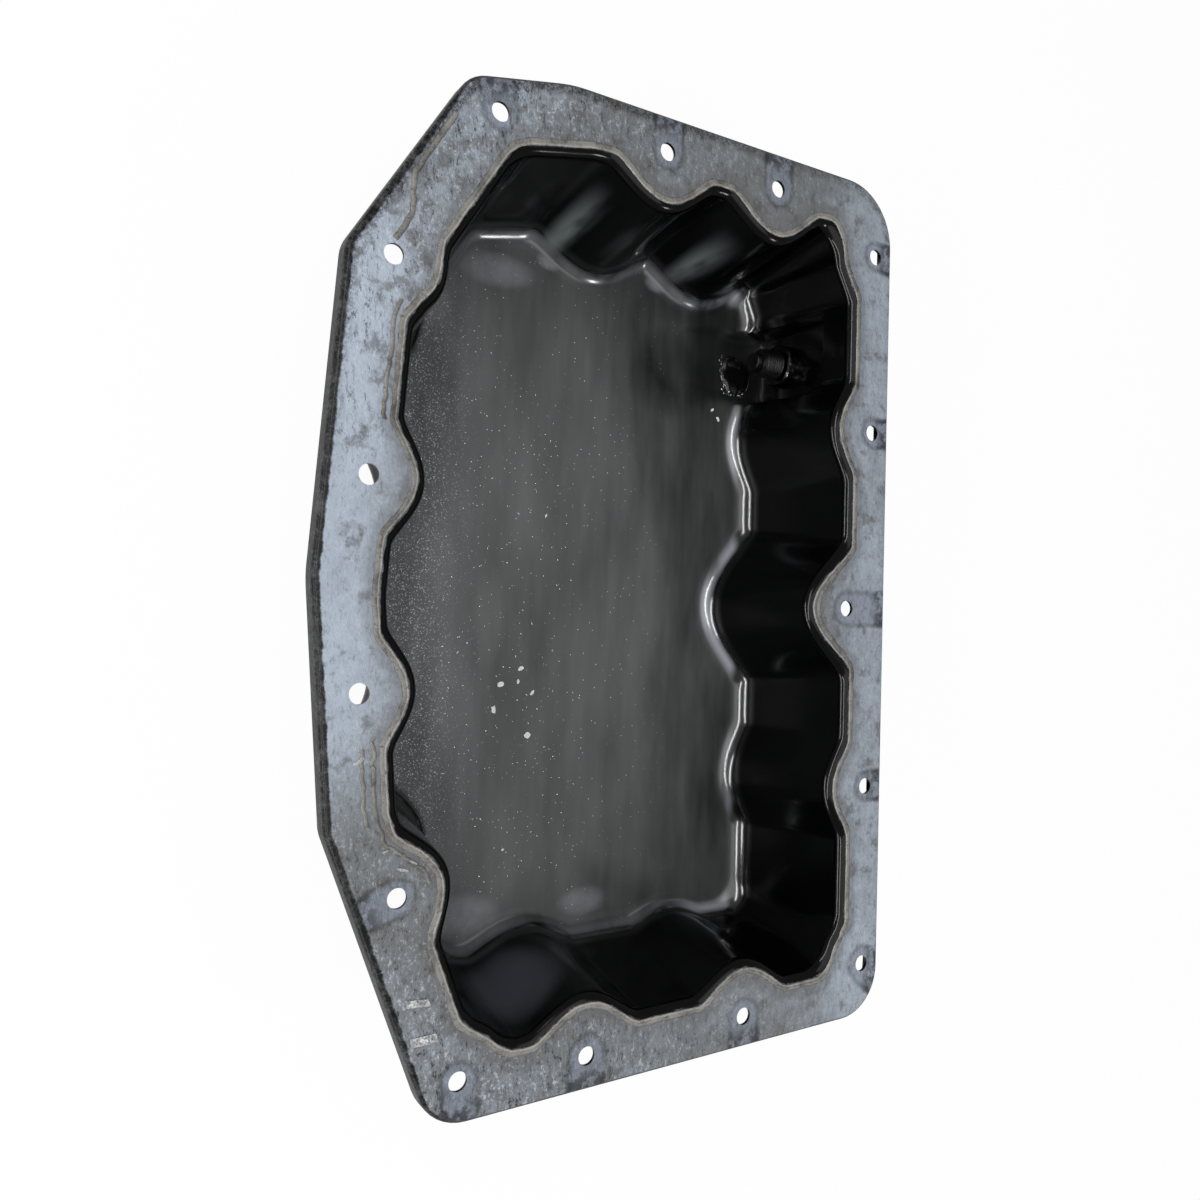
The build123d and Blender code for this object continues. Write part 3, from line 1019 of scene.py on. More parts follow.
@dataclass
class PressedSheet:
    """The pan: rim, lip, bowl and drain well in one piece of sheet."""

    form: PanForm
    finish: PanFinish = field(default_factory=PanFinish)
    rim_spacing: float = 3.2
    floor_spacing: float = 6.0
    tongue_spacing: float = 1.6
    tongue_band: tuple[float, float] = (3.0, 9.0)
    band_clearance: float = 0.8
    slope_clear: float = 14.0
    slope_shift: float = 4.0
    slope_spread: float = 5.0
    marks: tuple[tuple[int, float, float, float], ...] = (
        (1, 90.0, 7.5, 16.0), (2, 88.0, 7.0, 16.0), (0, 0.0, 6.5, 12.0), (3, 100.0, 7.0, 10.0),
        (8, -80.0, 7.0, 9.0), (9, -90.0, 8.0, 16.0), (10, -88.0, 7.5, 16.0), (11, -40.0, 8.0, 18.0),
        (12, 0.0, 6.5, 12.0), (13, 0.0, 7.5, 30.0), (14, 0.0, 6.5, 12.0), (7, -160.0, 6.5, 9.0),
    )

    def keyhole_gap(self, points: np.ndarray) -> np.ndarray:
        """Signed distance to the marks that the block's bolt bosses left in the sealant.

        Args:
            points: rows of x and y.

        Returns:
            Distances in millimetres, below 0 inside a mark.
        """
        nearest = np.full(len(points), 60.0)
        for number, heading, half_width, reach in self.marks:
            land = self.form.lands[number]
            ahead = np.array((math.cos(math.radians(heading)), math.sin(math.radians(heading))))
            offset = points - np.array((land.x, land.y))
            along = np.clip(offset @ ahead, 0.0, reach)
            away = np.linalg.norm(offset - along[:, None] * ahead, axis=1) - half_width
            nearest = np.minimum(nearest, away)
        return nearest

    def floor_points(self, loop: np.ndarray) -> np.ndarray:
        """Points within the floor, closer together round the drain tongue."""
        coarse = scattered([loop], self.floor_spacing, 2.0, 5)
        fine = scattered([loop], self.tongue_spacing, 0.9, 6)
        middle, reach = self.tongue_band
        fine = fine[np.abs(self.form.tongue_gap(fine) - middle) < reach]
        coarse = coarse[np.abs(self.form.tongue_gap(coarse) - middle) > reach + self.band_clearance]
        return np.concatenate([coarse, fine])

    def floor_heights(self, points: np.ndarray, loop: np.ndarray, skin: float) -> np.ndarray:
        """Height of the floor, which falls by a soft step into the drain tongue."""
        form = self.form
        clear = smooth_step(gap_to(points, loop) / self.slope_clear)
        width = form.side_blend + self.slope_spread * clear
        fall = (form.tongue_gap(points) - skin - self.slope_shift * clear) / (2 * width)
        return form.floor_top - skin - (form.floor_top - form.well_top) * smooth_step(0.5 - fall)

    def build(self) -> bpy.types.Object:
        """Make the sheet.

        Returns:
            The finished piece, riding on the pan's body.
        """
        form = self.form
        draft = MeshDraft()

        # How the rim, the floor and the pad round the drain hole are filled
        holes = form.hole_rings()
        inner_rings = form.rows(0.0)
        rim_loops = [form.lip_rows(0.0)[-1][:, :2], inner_rings[0][:, :2], *holes]
        rim_points = scattered(rim_loops, self.rim_spacing, 1.0, 4)
        rim_fill = flat_fill(rim_loops, rim_points)
        floor_loop = inner_rings[-1][:, :2]
        floor_points = self.floor_points(floor_loop)
        floor_fill = flat_fill([floor_loop], floor_points)
        block = self.drain_block(inner_rings)
        circle = -np.arange(48) * (2 * math.pi / 48)
        drain_ring = form.drain_hole_radius * np.column_stack([np.cos(circle), np.sin(circle)])
        drain_ring = drain_ring + (form.drain_y, form.drain_z)
        block_loop = np.array([inner_rings[row][column, 1:] for row, column in block])
        drain_fill = flat_fill([block_loop, drain_ring], np.zeros((0, 2)))
        block_rows = {row for row, _ in block}
        open_places = set(sorted({column for _, column in block})[:-1])

        edges = []
        for skin in (0.0, form.sheet):
            turned = skin > 0
            order = -1 if turned else 1
            flat_z = form.rim_top - skin
            lip = [draft.add(ring) for ring in form.lip_rows(skin)]
            bowl = [draft.add(ring) for ring in form.rows(skin)]
            hole_numbers = [draft.add(np.column_stack([hole, np.full(len(hole), flat_z)])) for hole in holes]
            rim_inner = draft.add(np.column_stack([rim_points, np.full(len(rim_points), flat_z)]))
            floor_z = self.floor_heights(floor_points, floor_loop, skin)
            floor_inner = draft.add(np.column_stack([floor_points, floor_z]))
            pad_x = np.full(len(drain_ring), form.pad_x + skin)
            drain_numbers = draft.add(np.column_stack([pad_x, drain_ring]))
            for pair in zip(lip, lip[1:]):
                draft.band(*pair[::order])
            for row, pair in enumerate(zip(bowl, bowl[1:])):
                skip = open_places if min(block_rows) <= row < max(block_rows) else None
                draft.band(*pair[::-order], skip=skip)
            draft.triangles(np.concatenate([lip[-1], bowl[0], *hole_numbers, rim_inner]), rim_fill, turned)
            draft.triangles(np.concatenate([bowl[-1], floor_inner]), floor_fill, turned)
            block_numbers = np.array([bowl[row][column] for row, column in block])
            draft.triangles(np.concatenate([block_numbers, drain_numbers]), drain_fill, not turned)
            edges.append((lip[0], hole_numbers, drain_numbers))
        (lip_a, holes_a, drain_a), (lip_b, holes_b, drain_b) = edges
        draft.band(lip_b, lip_a)
        for upper, lower in zip(holes_a, holes_b):
            draft.band(lower, upper)
        draft.band(drain_a, drain_b)
        piece = draft.build("pressed_sheet", self.finish.material())
        self.measure(piece, draft.coordinates()[:, :2], rim_loops[1])
        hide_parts("pan_shell")
        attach(piece, Body.PAN.value)
        LOG.info("%s: %d faces", piece.name, len(piece.data.polygons))
        return piece

    def measure(self, piece: bpy.types.Object, points: np.ndarray, mouth: np.ndarray) -> None:
        """Store the distances that the finish needs on the mesh.

        Args:
            piece: the sheet.
            points: x and y of its vertices in millimetres.
            mouth: the mouth's outline.
        """
        distances = {
            "mouth_gap": gap_to(points, mouth) * np.where(inside(points, mouth), -1.0, 1.0),
            "edge_gap": gap_to(points, self.form.rim_ring(0.0, 0.0)[:, :2]),
            "keyhole": self.keyhole_gap(points),
        }
        for name, values in distances.items():
            stored = piece.data.attributes.new(name, "FLOAT", "POINT")
            stored.data.foreach_set("value", values.astype(np.float32))

    def drain_block(self, rings: list[np.ndarray]) -> list[tuple[int, int]]:
        """Rows and places round the drain hole, as a closed loop seen along +X.

        Args:
            rings: the rows of the bowl's inside.

        Returns:
            Row and place of each corner of the loop, anticlockwise.
        """
        form = self.form
        probe = next(index for index, ring in enumerate(rings) if ring[0, 2] < form.drain_z)
        away = [np.hypot(ring[:, 0] - form.pad_x, ring[:, 1] - form.drain_y) for ring in rings]
        heights = [ring[np.argmin(gaps), 2] for ring, gaps in zip(rings, away)]
        reach = form.drain_hole_radius + 1.2
        top = max(index for index in range(probe) if heights[index] > form.drain_z + reach)
        bottom = min(index for index in range(probe, len(rings)) if heights[index] < form.drain_z - reach)
        first = last = int(np.argmin(away[probe]))
        while max(ring[first, 1] for ring in rings[top:bottom + 1]) > form.drain_y - reach:
            first -= 1
        while min(ring[last, 1] for ring in rings[top:bottom + 1]) < form.drain_y + reach:
            last += 1
        lower = [(bottom, column) for column in range(first, last)]
        right = [(row, last) for row in range(bottom, top, -1)]
        upper = [(top, column) for column in range(last, first, -1)]
        back = [(row, first) for row in range(top, bottom)]
        return lower + right + upper + back


# Pieces that follow a path or lie scattered


class NodeTree(Wiring):
    """A Geometry Nodes tree while it is wired."""

    def __init__(self, name: str, sizes: dict[str, float]) -> None:
        """Start a tree with one geometry and some named sizes.

        Args:
            name: the tree's name.
            sizes: named inputs and their values.
        """
        super().__init__(bpy.data.node_groups.new(name, "GeometryNodeTree"))
        self.tree.interface.new_socket("Geometry", in_out="INPUT", socket_type="NodeSocketGeometry")
        self.sizes = sizes
        for key in sizes:
            self.tree.interface.new_socket(key, in_out="INPUT", socket_type="NodeSocketFloat")
        self.tree.interface.new_socket("Geometry", in_out="OUTPUT", socket_type="NodeSocketGeometry")
        self.entry = self.tree.nodes.new("NodeGroupInput")

    def maths(self, operation: str, *entries: object) -> bpy.types.NodeSocket:
        """Result of one Math node."""
        return self.node("ShaderNodeMath", dict(enumerate(entries)), operation=operation).outputs[0]

    def vector(self, operation: str, inputs: dict[str | int, object]) -> bpy.types.NodeSocket:
        """Result of one Vector Math node."""
        return self.node("ShaderNodeVectorMath", inputs, operation=operation).outputs[0]

    def close(self, geometry: bpy.types.NodeSocket, material: bpy.types.Material) -> None:
        """End the tree in real geometry with its finish."""
        real = self.node("GeometryNodeRealizeInstances", {"Geometry": geometry})
        finished = self.node("GeometryNodeSetMaterial", {"Geometry": real.outputs[0], "Material": material})
        self.node("NodeGroupOutput", {"Geometry": finished.outputs[0]})

    def apply(self, carrier: bpy.types.Object, name: str) -> bpy.types.Object:
        """Run the tree on an object and keep the result as a plain mesh.

        Args:
            carrier: the object that gives the tree its geometry.
            name: the piece's name.

        Returns:
            The new piece, with the carrier removed.
        """
        modifier = carrier.modifiers.new("nodes", "NODES")
        modifier.node_group = self.tree
        for item in self.tree.interface.items_tree:
            if item.in_out == "INPUT" and item.name in self.sizes:
                modifier[item.identifier] = float(self.sizes[item.name])
        bpy.context.view_layer.update()
        graph = bpy.context.evaluated_depsgraph_get()
        mesh = bpy.data.meshes.new_from_object(carrier.evaluated_get(graph))
        mesh.name = name
        carrier.modifiers.remove(modifier)
        piece = bpy.data.objects.new(name, mesh)
        bpy.context.scene.collection.objects.link(piece)
        bpy.data.objects.remove(carrier)
        return piece


def path_object(points: Sequence[Sequence[float]], closed: bool) -> bpy.types.Object:
    """Poly curve through points.

    Args:
        points: rows of x, y and z in millimetres.
        closed: whether it runs round.

    Returns:
        The curve's object.
    """
    curve = bpy.data.curves.new("path", "CURVE")
    curve.dimensions = "3D"
    spline = curve.splines.new("POLY")
    spline.points.add(len(points) - 1)
    for target, point in zip(spline.points, points):
        target.co = (*(coordinate * MM for coordinate in point), 1.0)
    spline.use_cyclic_u = closed
    carrier = bpy.data.objects.new("path", curve)
    bpy.context.scene.collection.objects.link(carrier)
    return carrier


@dataclass
class SealantBead:
    """A bead of squeezed-out sealant along a path on the rim."""

    name: str
    path: Sequence[Sequence[float]]
    closed: bool
    finish: bpy.types.Material
    radius: float = 1.0
    wobble: float = 1.0
    flatness: float = 0.45
    seed: float = 0.0
    spacing: float = 0.9
    grip: float = 0.2

    def build(self) -> bpy.types.Object:
        """Make the bead with Geometry Nodes.

        Returns:
            The bead, riding on the pan's body.
        """
        sizes = {
            "Radius": self.radius * MM, "Flatness": self.flatness, "Wobble": self.wobble * MM,
            "Seed": self.seed, "Base": self.path[0][2] * MM,
        }
        tree = NodeTree(self.name + "_nodes", sizes)
        entry = tree.entry.outputs
        walk = {"Curve": entry[0], "Length": self.spacing * MM}
        path = tree.node("GeometryNodeResampleCurve", walk, mode="LENGTH")
        patch, coarse = (
            tree.node("ShaderNodeTexNoise", {"W": entry["Seed"], **look}, noise_dimensions="4D")
            for look in ({"Scale": 220.0, "Detail": 3.0}, {"Scale": 60.0, "Detail": 2.0})
        )

        # The path wanders sideways
        shift = tree.vector("SUBTRACT", {0: patch.outputs["Color"], 1: (0.5, 0.5, 0.5)})
        shift = tree.vector("MULTIPLY", {0: shift, 1: (2.0, 2.0, 0.0)})
        shift = tree.vector("SCALE", {0: shift, "Scale": entry["Wobble"]})
        moved = tree.node("GeometryNodeSetPosition", {"Geometry": path.outputs[0], "Offset": shift})

        # The bead is thick and thin by turns
        width = tree.maths("ADD", tree.maths("MULTIPLY", coarse.outputs[0], 5.5), -2.1)
        width = tree.maths("ADD", width, tree.maths("MULTIPLY", patch.outputs[0], 0.9))
        width = tree.maths("MINIMUM", tree.maths("MAXIMUM", width, 0.35), 2.4)
        thick = tree.node("GeometryNodeSetCurveRadius", {"Curve": moved.outputs[0], "Radius": width})
        section = tree.node("GeometryNodeCurvePrimitiveCircle", {"Resolution": 8, "Radius": entry["Radius"]})
        sweep = {"Curve": thick.outputs[0], "Profile Curve": section.outputs[0], "Fill Caps": True}
        swept = tree.node("GeometryNodeCurveToMesh", sweep)

        # It is pressed flat on the rim
        place = tree.node("GeometryNodeInputPosition")
        parts = tree.node("ShaderNodeSeparateXYZ", {0: place.outputs[0]}).outputs
        above = tree.maths("MAXIMUM", tree.maths("SUBTRACT", parts[2], entry["Base"]), -self.grip * MM)
        height = tree.maths("ADD", tree.maths("MULTIPLY", above, entry["Flatness"]), entry["Base"])
        joined = tree.node("ShaderNodeCombineXYZ", {0: parts[0], 1: parts[1], 2: height})
        pressing = {"Geometry": swept.outputs[0], "Position": joined.outputs[0]}
        flat = tree.node("GeometryNodeSetPosition", pressing)
        smooth = tree.node("GeometryNodeSetShadeSmooth", {0: flat.outputs[0]})
        tree.close(smooth.outputs[0], self.finish)
        return dressed(tree.apply(path_object(self.path, self.closed), self.name))


@dataclass
class Scatter:
    """Small drops or grains strewn over a patch of the floor."""

    name: str
    patch: Sequence[tuple[float, float]]
    z: float
    finish: bpy.types.Material
    density: float
    radius: float
    flatness: float = 0.5
    seed: int = 1

    def build(self) -> bpy.types.Object:
        """Make the grains with Geometry Nodes.

        Returns:
            The grains as one piece, riding on the pan's body.
        """
        sizes = {"Density": self.density * 1e6, "Radius": self.radius * MM, "Flatness": self.flatness}
        tree = NodeTree(self.name + "_nodes", sizes)
        entry = tree.entry.outputs
        source = {"Mesh": entry[0], "Density": entry["Density"], "Seed": self.seed}
        spread = tree.node("GeometryNodeDistributePointsOnFaces", source)
        grain = tree.node("GeometryNodeMeshIcoSphere", {"Radius": entry["Radius"], "Subdivisions": 2})
        size = tree.node("FunctionNodeRandomValue", {2: 0.0, 3: 1.0, "Seed": self.seed}, data_type="FLOAT")
        shaped = tree.maths("MULTIPLY", tree.maths("POWER", size.outputs[1], 3.0), 1.4)
        shaped = tree.maths("ADD", shaped, 0.35)
        tall = tree.maths("MULTIPLY", shaped, entry["Flatness"])
        scale = tree.node("ShaderNodeCombineXYZ", {0: shaped, 1: shaped, 2: tall})
        copies = {"Points": spread.outputs[0], "Instance": grain.outputs[0], "Scale": scale.outputs[0]}
        tree.close(tree.node("GeometryNodeInstanceOnPoints", copies).outputs[0], self.finish)
        draft = MeshDraft()
        draft.cap(draft.add(np.array([(x, y, self.z) for x, y in self.patch])))
        piece = tree.apply(draft.build("patch", self.finish), self.name)
        piece.data.polygons.foreach_set("use_smooth", [True] * len(piece.data.polygons))
        return dressed(piece)


@dataclass
class Puddle:
    """A flat drop of oil with an uneven outline."""

    name: str
    middle: tuple[float, float]
    reach: tuple[float, float]
    z: float
    finish: bpy.types.Material
    height: float = 0.9
    seed: int = 7
    profile: tuple[tuple[float, float], ...] = (
        (1.0, -0.3), (1.0, 0.02), (0.96, 0.35), (0.88, 0.62), (0.7, 0.85), (0.4, 1.0), (0.02, 1.0)
    )

    def build(self) -> bpy.types.Object:
        """Make the drop.

        Returns:
            The drop as one closed piece, riding on the pan's body.
        """
        chance = random.Random(self.seed)
        waves = [(order, chance.uniform(0.0, 2 * math.pi), 0.12 / order**0.5) for order in (2, 3, 5, 8)]
        angles = np.arange(64) * (2 * math.pi / 64)
        wave = 1.0 + sum(size * np.sin(order * angles + phase) for order, phase, size in waves)
        draft = MeshDraft()
        rings = []
        for share, rise in self.profile:
            rings.append(draft.add(np.column_stack([
                self.middle[0] + self.reach[0] * share * wave * np.cos(angles),
                self.middle[1] + self.reach[1] * share * wave * np.sin(angles),
                np.full(len(angles), self.z + self.height * rise),
            ])))
        draft.bands(rings)
        draft.cap(rings[-1])
        draft.cap(reversed(rings[0]))
        return dressed(draft.build(self.name, self.finish, 60.0))


@dataclass
class LooseFilm:
    """A torn, crumpled scrap of film that stands off the rim."""

    name: str
    corners: tuple[tuple[float, float], ...]
    z: float
    finish: bpy.types.Material
    curl: float = 1.5
    seed: int = 3
    thickness: float = 0.25
    across: int = 19
    down: int = 7

    def layer(self, draft: MeshDraft, skin: float, chance: random.Random) -> list[np.ndarray]:
        """Rows of one side of the scrap.

        Args:
            draft: takes in the points.
            skin: the scrap's thickness for its crumpled upper side, 0 for the lower side.
            chance: draws the crumples.

        Returns:
            The numbers of the points in each row.
        """
        a, b, c, d = (np.array(corner) for corner in self.corners)
        rows = []
        for v in np.arange(self.down) / (self.down - 1):
            row = []
            for u in np.arange(self.across) / (self.across - 1):
                x, y = (a * (1 - u) + b * u) * (1 - v) + (d * (1 - u) + c * u) * v
                z = self.z - 0.05
                if skin:
                    z = self.z + 0.05 + skin
                    z += self.curl * math.sin(math.pi * v) ** 2 * (0.6 + 0.4 * math.sin(9 * u + self.seed))
                    z += chance.uniform(0.0, 0.22)
                row.append((x + chance.uniform(-0.15, 0.15) * bool(skin), y, z))
            rows.append(draft.add(np.array(row)))
        return rows

    def build(self) -> bpy.types.Object:
        """Make the scrap between its four corners.

        Returns:
            The scrap, riding on the pan's body.
        """
        chance = random.Random(self.seed)
        draft = MeshDraft()
        upper, lower = (self.layer(draft, skin, chance) for skin in (self.thickness, 0.0))
        draft.bands(upper[::-1], closed=False)
        draft.bands(lower, closed=False)
        draft.band(*(
            np.concatenate([
                rows[0][:-1], [row[-1] for row in rows[:-1]], rows[-1][:0:-1], [row[0] for row in rows[:0:-1]]
            ])
            for rows in (upper, lower)
        ))
        return dressed(draft.build(self.name, self.finish, 30.0))


@dataclass
class Flakes:
    """Pale chips of old sealant that lie on the pan."""

    finish: bpy.types.Material
    floor_z: float
    name: str = "sealant_flakes"
    places: tuple[tuple[float, float, float, float, float], ...] = (
        (-26.1, -34.8, 3.4, 1.9, 35.0),
        (-27.3, -40.6, 2.6, 1.7, 80.0),
        (-36.1, -41.8, 3.6, 2.6, 20.0),
        (-20.1, -45.8, 2.8, 1.5, 60.0),
        (-39.1, -52.8, 4.0, 2.4, 100.0),
        (-22.1, -64.8, 4.2, 3.2, 10.0),
        (-15.1, 34.3, 1.8, 0.9, 70.0),
        (-33.1, -114.8, 1.7, 1.0, 30.0),
        (78.9, 94.3, 2.2, 1.4, 50.0),
        (82.5, 90.0, 2.8, 1.3, 120.0),
    )

    def build(self) -> bpy.types.Object:
        """Make the flakes.

        Returns:
            All the flakes as one piece, riding on the pan's body.
        """
        draft = MeshDraft()
        chance = random.Random(11)
        for x, y, long, wide, turn in self.places:
            spin = math.radians(turn)
            corners = []
            for angle in np.arange(9) * (2 * math.pi / 9):
                reach = chance.uniform(0.7, 1.1)
                along, across = math.cos(angle) * long / 2 * reach, math.sin(angle) * wide / 2 * reach
                corners.append((
                    x + along * math.cos(spin) - across * math.sin(spin),
                    y + along * math.sin(spin) + across * math.cos(spin),
                ))
            low = draft.add(np.array([(*corner, self.floor_z) for corner in corners]))
            heights = [self.floor_z + chance.uniform(0.25, 0.7) for _ in corners]
            high = draft.add(np.column_stack([corners, heights]))
            draft.band(low, high)
            draft.cap(high)
            draft.cap(reversed(low))
        return dressed(draft.build(self.name, self.finish, 25.0))


# The drain


@dataclass
class DrainPlug:
    """Hexagon screw plug with a real thread, lying along X."""

    axis_y: float = 117.5
    axis_z: float = 19.5
    tip_x: float = 91.0
    seat_x: float = 116.0
    thread_radius: float = 6.98
    pitch: float = 1.5
    thread_depth: float = 0.75
    point_length: float = 3.4
    point_radius: float = 4.5
    flange_radius: float = 12.0
    flange_height: float = 2.5
    hex_flats: float = 19.0
    hex_height: float = 7.0
    hex_chamfer: float = 1.2
    lead_in: float = 1.4
    ring_points: int = 72

    @property
    def angles(self) -> np.ndarray:
        """Directions of the points of a ring."""
        return np.arange(self.ring_points) * (2 * math.pi / self.ring_points)

    def ring(self, x: float, radii: np.ndarray | float) -> np.ndarray:
        """Ring of points round the plug's axis."""
        radii = np.broadcast_to(radii, self.ring_points)
        across, up = radii * np.cos(self.angles), radii * np.sin(self.angles)
        return np.column_stack([np.full(self.ring_points, x), self.axis_y + across, self.axis_z + up])

    def shank(self) -> list[np.ndarray]:
        """Rings of the point and the thread, which starts shallow behind the point."""
        point = self.point_radius
        profile = (
            (0.0, 0.05), (0.0, point - 0.8), (0.25, point - 0.25), (0.8, point), (self.point_length, point)
        )
        rows = [self.ring(self.tip_x + along, radius) for along, radius in profile]
        x = start = self.tip_x + self.point_length
        while x < self.seat_x - 1.0:
            turns = (x - self.tip_x) / self.pitch - self.angles / (2 * math.pi)
            depth = self.thread_depth * (0.5 + 0.5 * np.cos(2 * math.pi * turns))
            lead = min((x - start) / self.lead_in, 1.0)
            rows.append(self.ring(x, (self.thread_radius - depth) * (0.84 + 0.16 * lead)))
            x += self.pitch / 12
        root = self.thread_radius - self.thread_depth
        return [*rows, self.ring(self.seat_x - 0.9, root), self.ring(self.seat_x, root)]

    def head(self) -> list[np.ndarray]:
        """Rings of the flange and the hexagon, with its chamfered crown and shallow dish."""
        rim, height = self.flange_radius, self.flange_height
        profile = (
            (rim - 0.4, 0.0), (rim, 0.4), (rim, height - 0.7), (rim - 0.5, height - 0.1), (rim - 1.2, height)
        )
        rows = [self.ring(self.seat_x + along, out) for out, along in profile]
        sector = np.abs((self.angles + math.pi / 6) % (math.pi / 3) - math.pi / 6)
        crown = self.hex_flats / math.sqrt(3)
        hexagon = np.minimum(self.hex_flats / 2 / np.cos(sector), crown - 0.25)
        foot_x = self.seat_x + height
        top_x = foot_x + self.hex_height
        rows += [self.ring(foot_x + 0.05, hexagon + 0.35), self.ring(foot_x + 0.4, hexagon)]
        for share in (0.0, 0.35, 0.7, 1.0):
            out = np.minimum(hexagon, crown - self.hex_chamfer * share * 1.3)
            rows.append(self.ring(top_x - self.hex_chamfer * (1 - share), out))
        return [*rows, self.ring(top_x, 6.2), self.ring(top_x - 0.5, 5.4), self.ring(top_x - 0.5, 0.05)]

    def build(self) -> bpy.types.Object:
        """Make the plug.

        Returns:
            The plug, riding on its own body.
        """
        draft = MeshDraft()
        rows = [draft.add(ring) for ring in self.shank() + self.head()]
        draft.bands(rows)
        draft.cap(reversed(rows[0]))
        draft.cap(rows[-1])
        finish = MetalFinish(
            "zinc_plug", bright=(0.92, 0.92, 0.90), oily=(0.006, 0.006, 0.006), oil=0.15, metallic=0.6,
            roughness=0.28, root_radius=self.thread_radius - self.thread_depth,
        )
        piece = draft.build("threaded_plug", finish.material(), 55.0)
        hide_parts("drain_plug")
        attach(piece, Body.PLUG.value)
        LOG.info("%s: %d faces", piece.name, len(piece.data.polygons))
        return piece


def dress_node(node: str, material: bpy.types.Material) -> None:
    """Give a carried-over solid its finish."""
    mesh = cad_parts[node].data
    mesh.materials.clear()
    mesh.materials.append(material)


# The studio


@dataclass
class Studio:
    """Pale floor, soft lamps and the camera at the photograph's angle."""

    focal_share: float = 1000.0 / 1200.0
    camera_place: tuple[float, float, float] = (-0.23338, -0.00745, 0.40160)
    camera_turn: tuple[float, float, float] = (-0.0026, -0.5579, 0.0250)
    world_strength: float = 0.20
    floor_reach: float = 2500.0
    lamps: tuple[tuple[str, tuple[float, float, float], tuple[float, float], float], ...] = (
        ("ceiling_lamp", (0.05, 0.0, 1.5), (1.3, 1.3), 5.3),
        ("high_strip", (-0.75, 0.1, 1.25), (0.12, 2.0), 11.0),
        ("low_strip", (-1.25, -0.45, 0.62), (0.12, 2.0), 11.0),
        ("far_panel", (0.90, -0.78, 1.06), (0.22, 0.22), 2.6),
    )

    def floor(self) -> None:
        """Lay the pale floor, which shows near white to the camera and keeps its shadow."""
        draft = MeshDraft()
        reach = self.floor_reach
        corners = [(-reach, -reach, 0), (reach, -reach, 0), (reach, reach, 0), (-reach, reach, 0)]
        draft.cap(draft.add(np.array(corners)))
        s = Shader("pale_floor")
        rays = s.node("ShaderNodeLightPath")
        matt = s.node("ShaderNodeBsdfDiffuse", {"Color": (0.92, 0.92, 0.92, 1.0)})
        glow = s.node("ShaderNodeEmission", {"Color": (1.0, 1.0, 1.0, 1.0), "Strength": 1.0})
        seen = Value(s, rays.outputs["Is Camera Ray"]) * 0.95
        mixed = s.node("ShaderNodeMixShader", {0: seen, 1: matt.outputs[0], 2: glow.outputs[0]})
        s.node("ShaderNodeOutputMaterial", {"Surface": mixed.outputs[0]})
        draft.build("studio_floor", s.material)

    def world(self) -> None:
        """Set an even pale sky, which shows white to the camera."""
        world = bpy.data.worlds.new("soft_sky")
        world.use_nodes = True
        sky = Wiring(world.node_tree)
        rays = sky.node("ShaderNodeLightPath").outputs["Is Camera Ray"]
        level = sky.node("ShaderNodeMapRange", {"Value": rays, "To Min": self.world_strength})
        background = world.node_tree.nodes["Background"]
        background.inputs["Color"].default_value = (1.0, 1.0, 1.0, 1.0)
        world.node_tree.links.new(level.outputs[0], background.inputs["Strength"])
        bpy.context.scene.world = world

    def lamp(self, name: str, place: tuple[float, float, float], size: tuple[float, float],
             power: float) -> None:
        """Hang one soft lamp that faces the pan.

        Args:
            name: the lamp's name.
            place: where it hangs, in metres.
            size: its width and height in metres.
            power: its power in watts.
        """
        light = bpy.data.lights.new(name, "AREA")
        light.shape = "RECTANGLE"
        light.size, light.size_y = size
        light.energy = power
        lamp = bpy.data.objects.new(name, light)
        lamp.location = place
        lamp.rotation_euler = (-Vector(place)).to_track_quat("-Z", "X").to_euler()
        bpy.context.scene.collection.objects.link(lamp)

    def camera(self) -> None:
        """Stand the camera where the photograph was taken from."""
        data = bpy.data.cameras.new("camera")
        data.sensor_width = 36.0
        data.lens = 36.0 * self.focal_share
        data.clip_start = 0.01
        camera = bpy.data.objects.new("camera", data)
        turn = Vector(self.camera_turn)
        rotation = Matrix.Rotation(turn.length, 3, turn.normalized()) @ Matrix.Diagonal((1.0, -1.0, -1.0))
        axes = Matrix((rotation[0], -rotation[1], -rotation[2])).transposed()
        camera.matrix_world = Matrix.Translation(Vector(self.camera_place)) @ axes.to_4x4()
        bpy.context.scene.collection.objects.link(camera)
        bpy.context.scene.camera = camera

    def build(self) -> None:
        """Set everything up."""
        self.floor()
        self.world()
        for lamp in self.lamps:
            self.lamp(*lamp)
        self.camera()
        bpy.context.scene.view_settings.view_transform = "Standard"


# Everything together


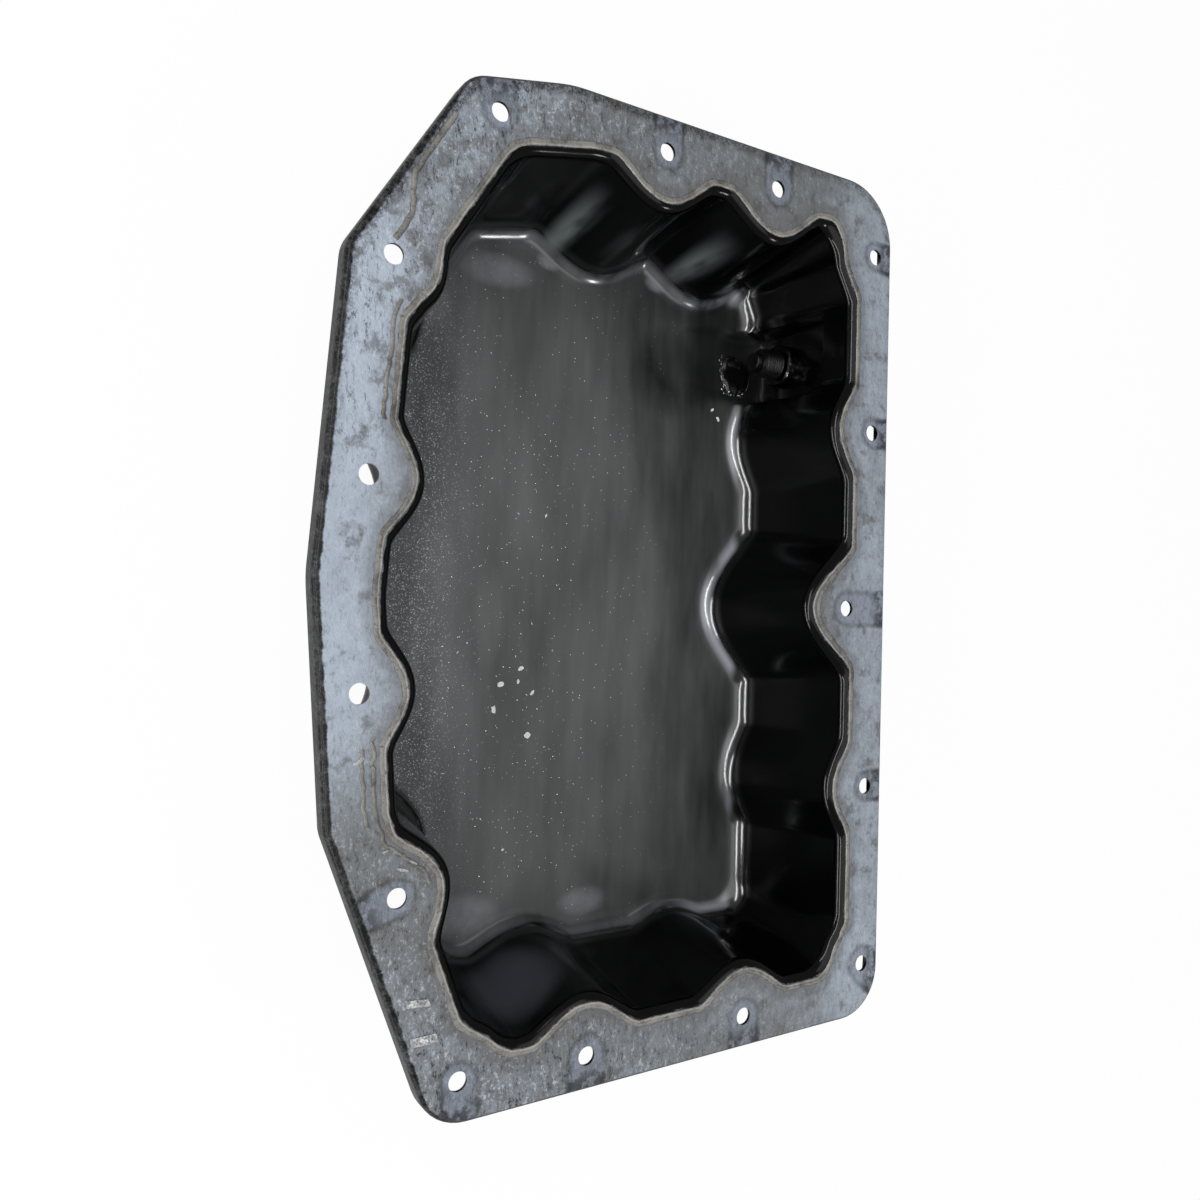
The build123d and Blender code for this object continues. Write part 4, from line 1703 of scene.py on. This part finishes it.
@dataclass
class OilPan:
    """The dressed pan."""

    form: PanForm = field(default_factory=PanForm)
    left_bead: tuple[tuple[float, float], ...] = (
        (-90.0, 171.6), (-96.7, 159.6), (-101.8, 151.8), (-104.7, 146.8), (-105.3, 139.5), (-105.8, 131.6),
        (-109.0, 125.2), (-111.5, 121.1),
    )
    folds: tuple[tuple[str, float, float, float], ...] = (
        ("lower_fold", -4.4, -108.0, -52.0),
        ("lower_crease", -8.0, -88.0, -58.0),
        ("upper_fold", -4.2, 56.0, 100.0),
    )
    chips: tuple[tuple[float, float, float, float, float], ...] = (
        (-103.5, -101.0, 5.5, 1.3, 165.0),
        (-99.4, -98.8, 4.2, 1.1, 150.0),
        (-110.0, -94.0, 2.6, 0.9, 20.0),
        (-120.5, -62.0, 5.0, 1.6, 35.0),
    )
    upper_scrap: tuple[tuple[float, float], ...] = (
        (-101.0, -147.6), (-92.2, -148.6), (-91.6, -151.2), (-100.4, -150.4)
    )
    lower_scrap: tuple[tuple[float, float], ...] = (
        (-99.0, -161.6), (-89.2, -161.4), (-88.2, -164.6), (-98.2, -164.8)
    )
    left_floor: tuple[tuple[float, float], ...] = (
        (-92, -70), (-40, -140), (10, -120), (0, 60), (-40, 120), (-80, 70), (-90, 10)
    )
    under_drain: tuple[tuple[float, float], ...] = (
        (86, 104), (99, 103), (102, 109), (99, 106), (91, 106), (88, 112), (86, 124), (84, 120)
    )

    def beads(self) -> None:
        """Lay the beads and folds of sealant."""
        top = self.form.rim_top
        grey = SealantFinish().material()
        pale = SealantFinish("pale_sealant", (0.15, 0.145, 0.13), (0.36, 0.35, 0.33), 0.28).material()
        left = [(x, y, top) for x, y in self.left_bead]
        beads = [
            SealantBead("mouth_bead", self.form.bowl_ring(-0.9, top), True, grey, 1.15, 1.15, 0.20),
            SealantBead("mouth_crest", self.form.bowl_ring(0.1, top - 0.05), True, pale, 0.6, 0.6),
            SealantBead("left_bead", left, False, grey, 1.1, 1.1),
        ]
        for name, inset, low, high in self.folds:
            ring = self.form.bowl_ring(inset, top)
            fold = ring[(ring[:, 0] < -60.0) & (ring[:, 1] > low) & (ring[:, 1] < high)]
            beads.append(SealantBead(name, fold, False, grey, 0.8, 2.4))
        for number, bead in enumerate(beads):
            bead.seed = number * 3.7
            bead.build()

    def loose_bits(self) -> None:
        """Strew the flakes, the torn film, the grit and the oil."""
        top, floor, well = self.form.rim_top, self.form.floor_top, self.form.well_top
        pale = SpeckFinish("pale_flakes", (0.62, 0.63, 0.62), (0.85, 0.86, 0.85), 0.5).material()
        Flakes(pale, floor).build()
        lifted = SpeckFinish("lifted_film", (0.22, 0.23, 0.24), (0.50, 0.52, 0.54), 0.34).material()
        Flakes(lifted, top, "rim_flakes", self.chips).build()
        torn = SpeckFinish("torn_film", (0.20, 0.20, 0.20), (0.78, 0.80, 0.82), 0.3).material()
        LooseFilm("torn_film_upper", self.upper_scrap, top, torn).build()
        LooseFilm("torn_film_lower", self.lower_scrap, top, torn, seed=8).build()
        grit = SpeckFinish("oily_grit", (0.25, 0.25, 0.24), (0.7, 0.7, 0.68), 0.12, 0.7).material()
        Scatter("floor_grit", self.left_floor, floor, grit, 0.05, 0.32, 0.5, 3).build()
        Puddle("drain_oil", (95.0, 114.0), (9.0, 10.5), well, OilFinish().material()).build()
        Scatter("drain_grit", self.under_drain, well + 0.2, grit, 0.9, 0.34, 0.8, 5).build()

    def drain(self) -> None:
        """Make the plug and dress the nut and the washer."""
        DrainPlug().build()
        nut = MetalFinish("weld_nut", (0.16, 0.16, 0.16), (0.012, 0.012, 0.012), oil=0.6, roughness=0.24)
        washer = MetalFinish("sealing_ring", (0.6, 0.6, 0.58), oil=0.3, roughness=0.3)
        dress_node("drain_nut", nut.material())
        dress_node("drain_washer", washer.material())

    def build(self) -> None:
        """Build every piece in order."""
        PressedSheet(self.form).build()
        self.beads()
        self.loose_bits()
        self.drain()


def main() -> None:
    """Build the pan and its studio."""
    logging.basicConfig(level=logging.INFO)
    OilPan().build()
    Studio().build()


if __name__ == "__main__":
    main()
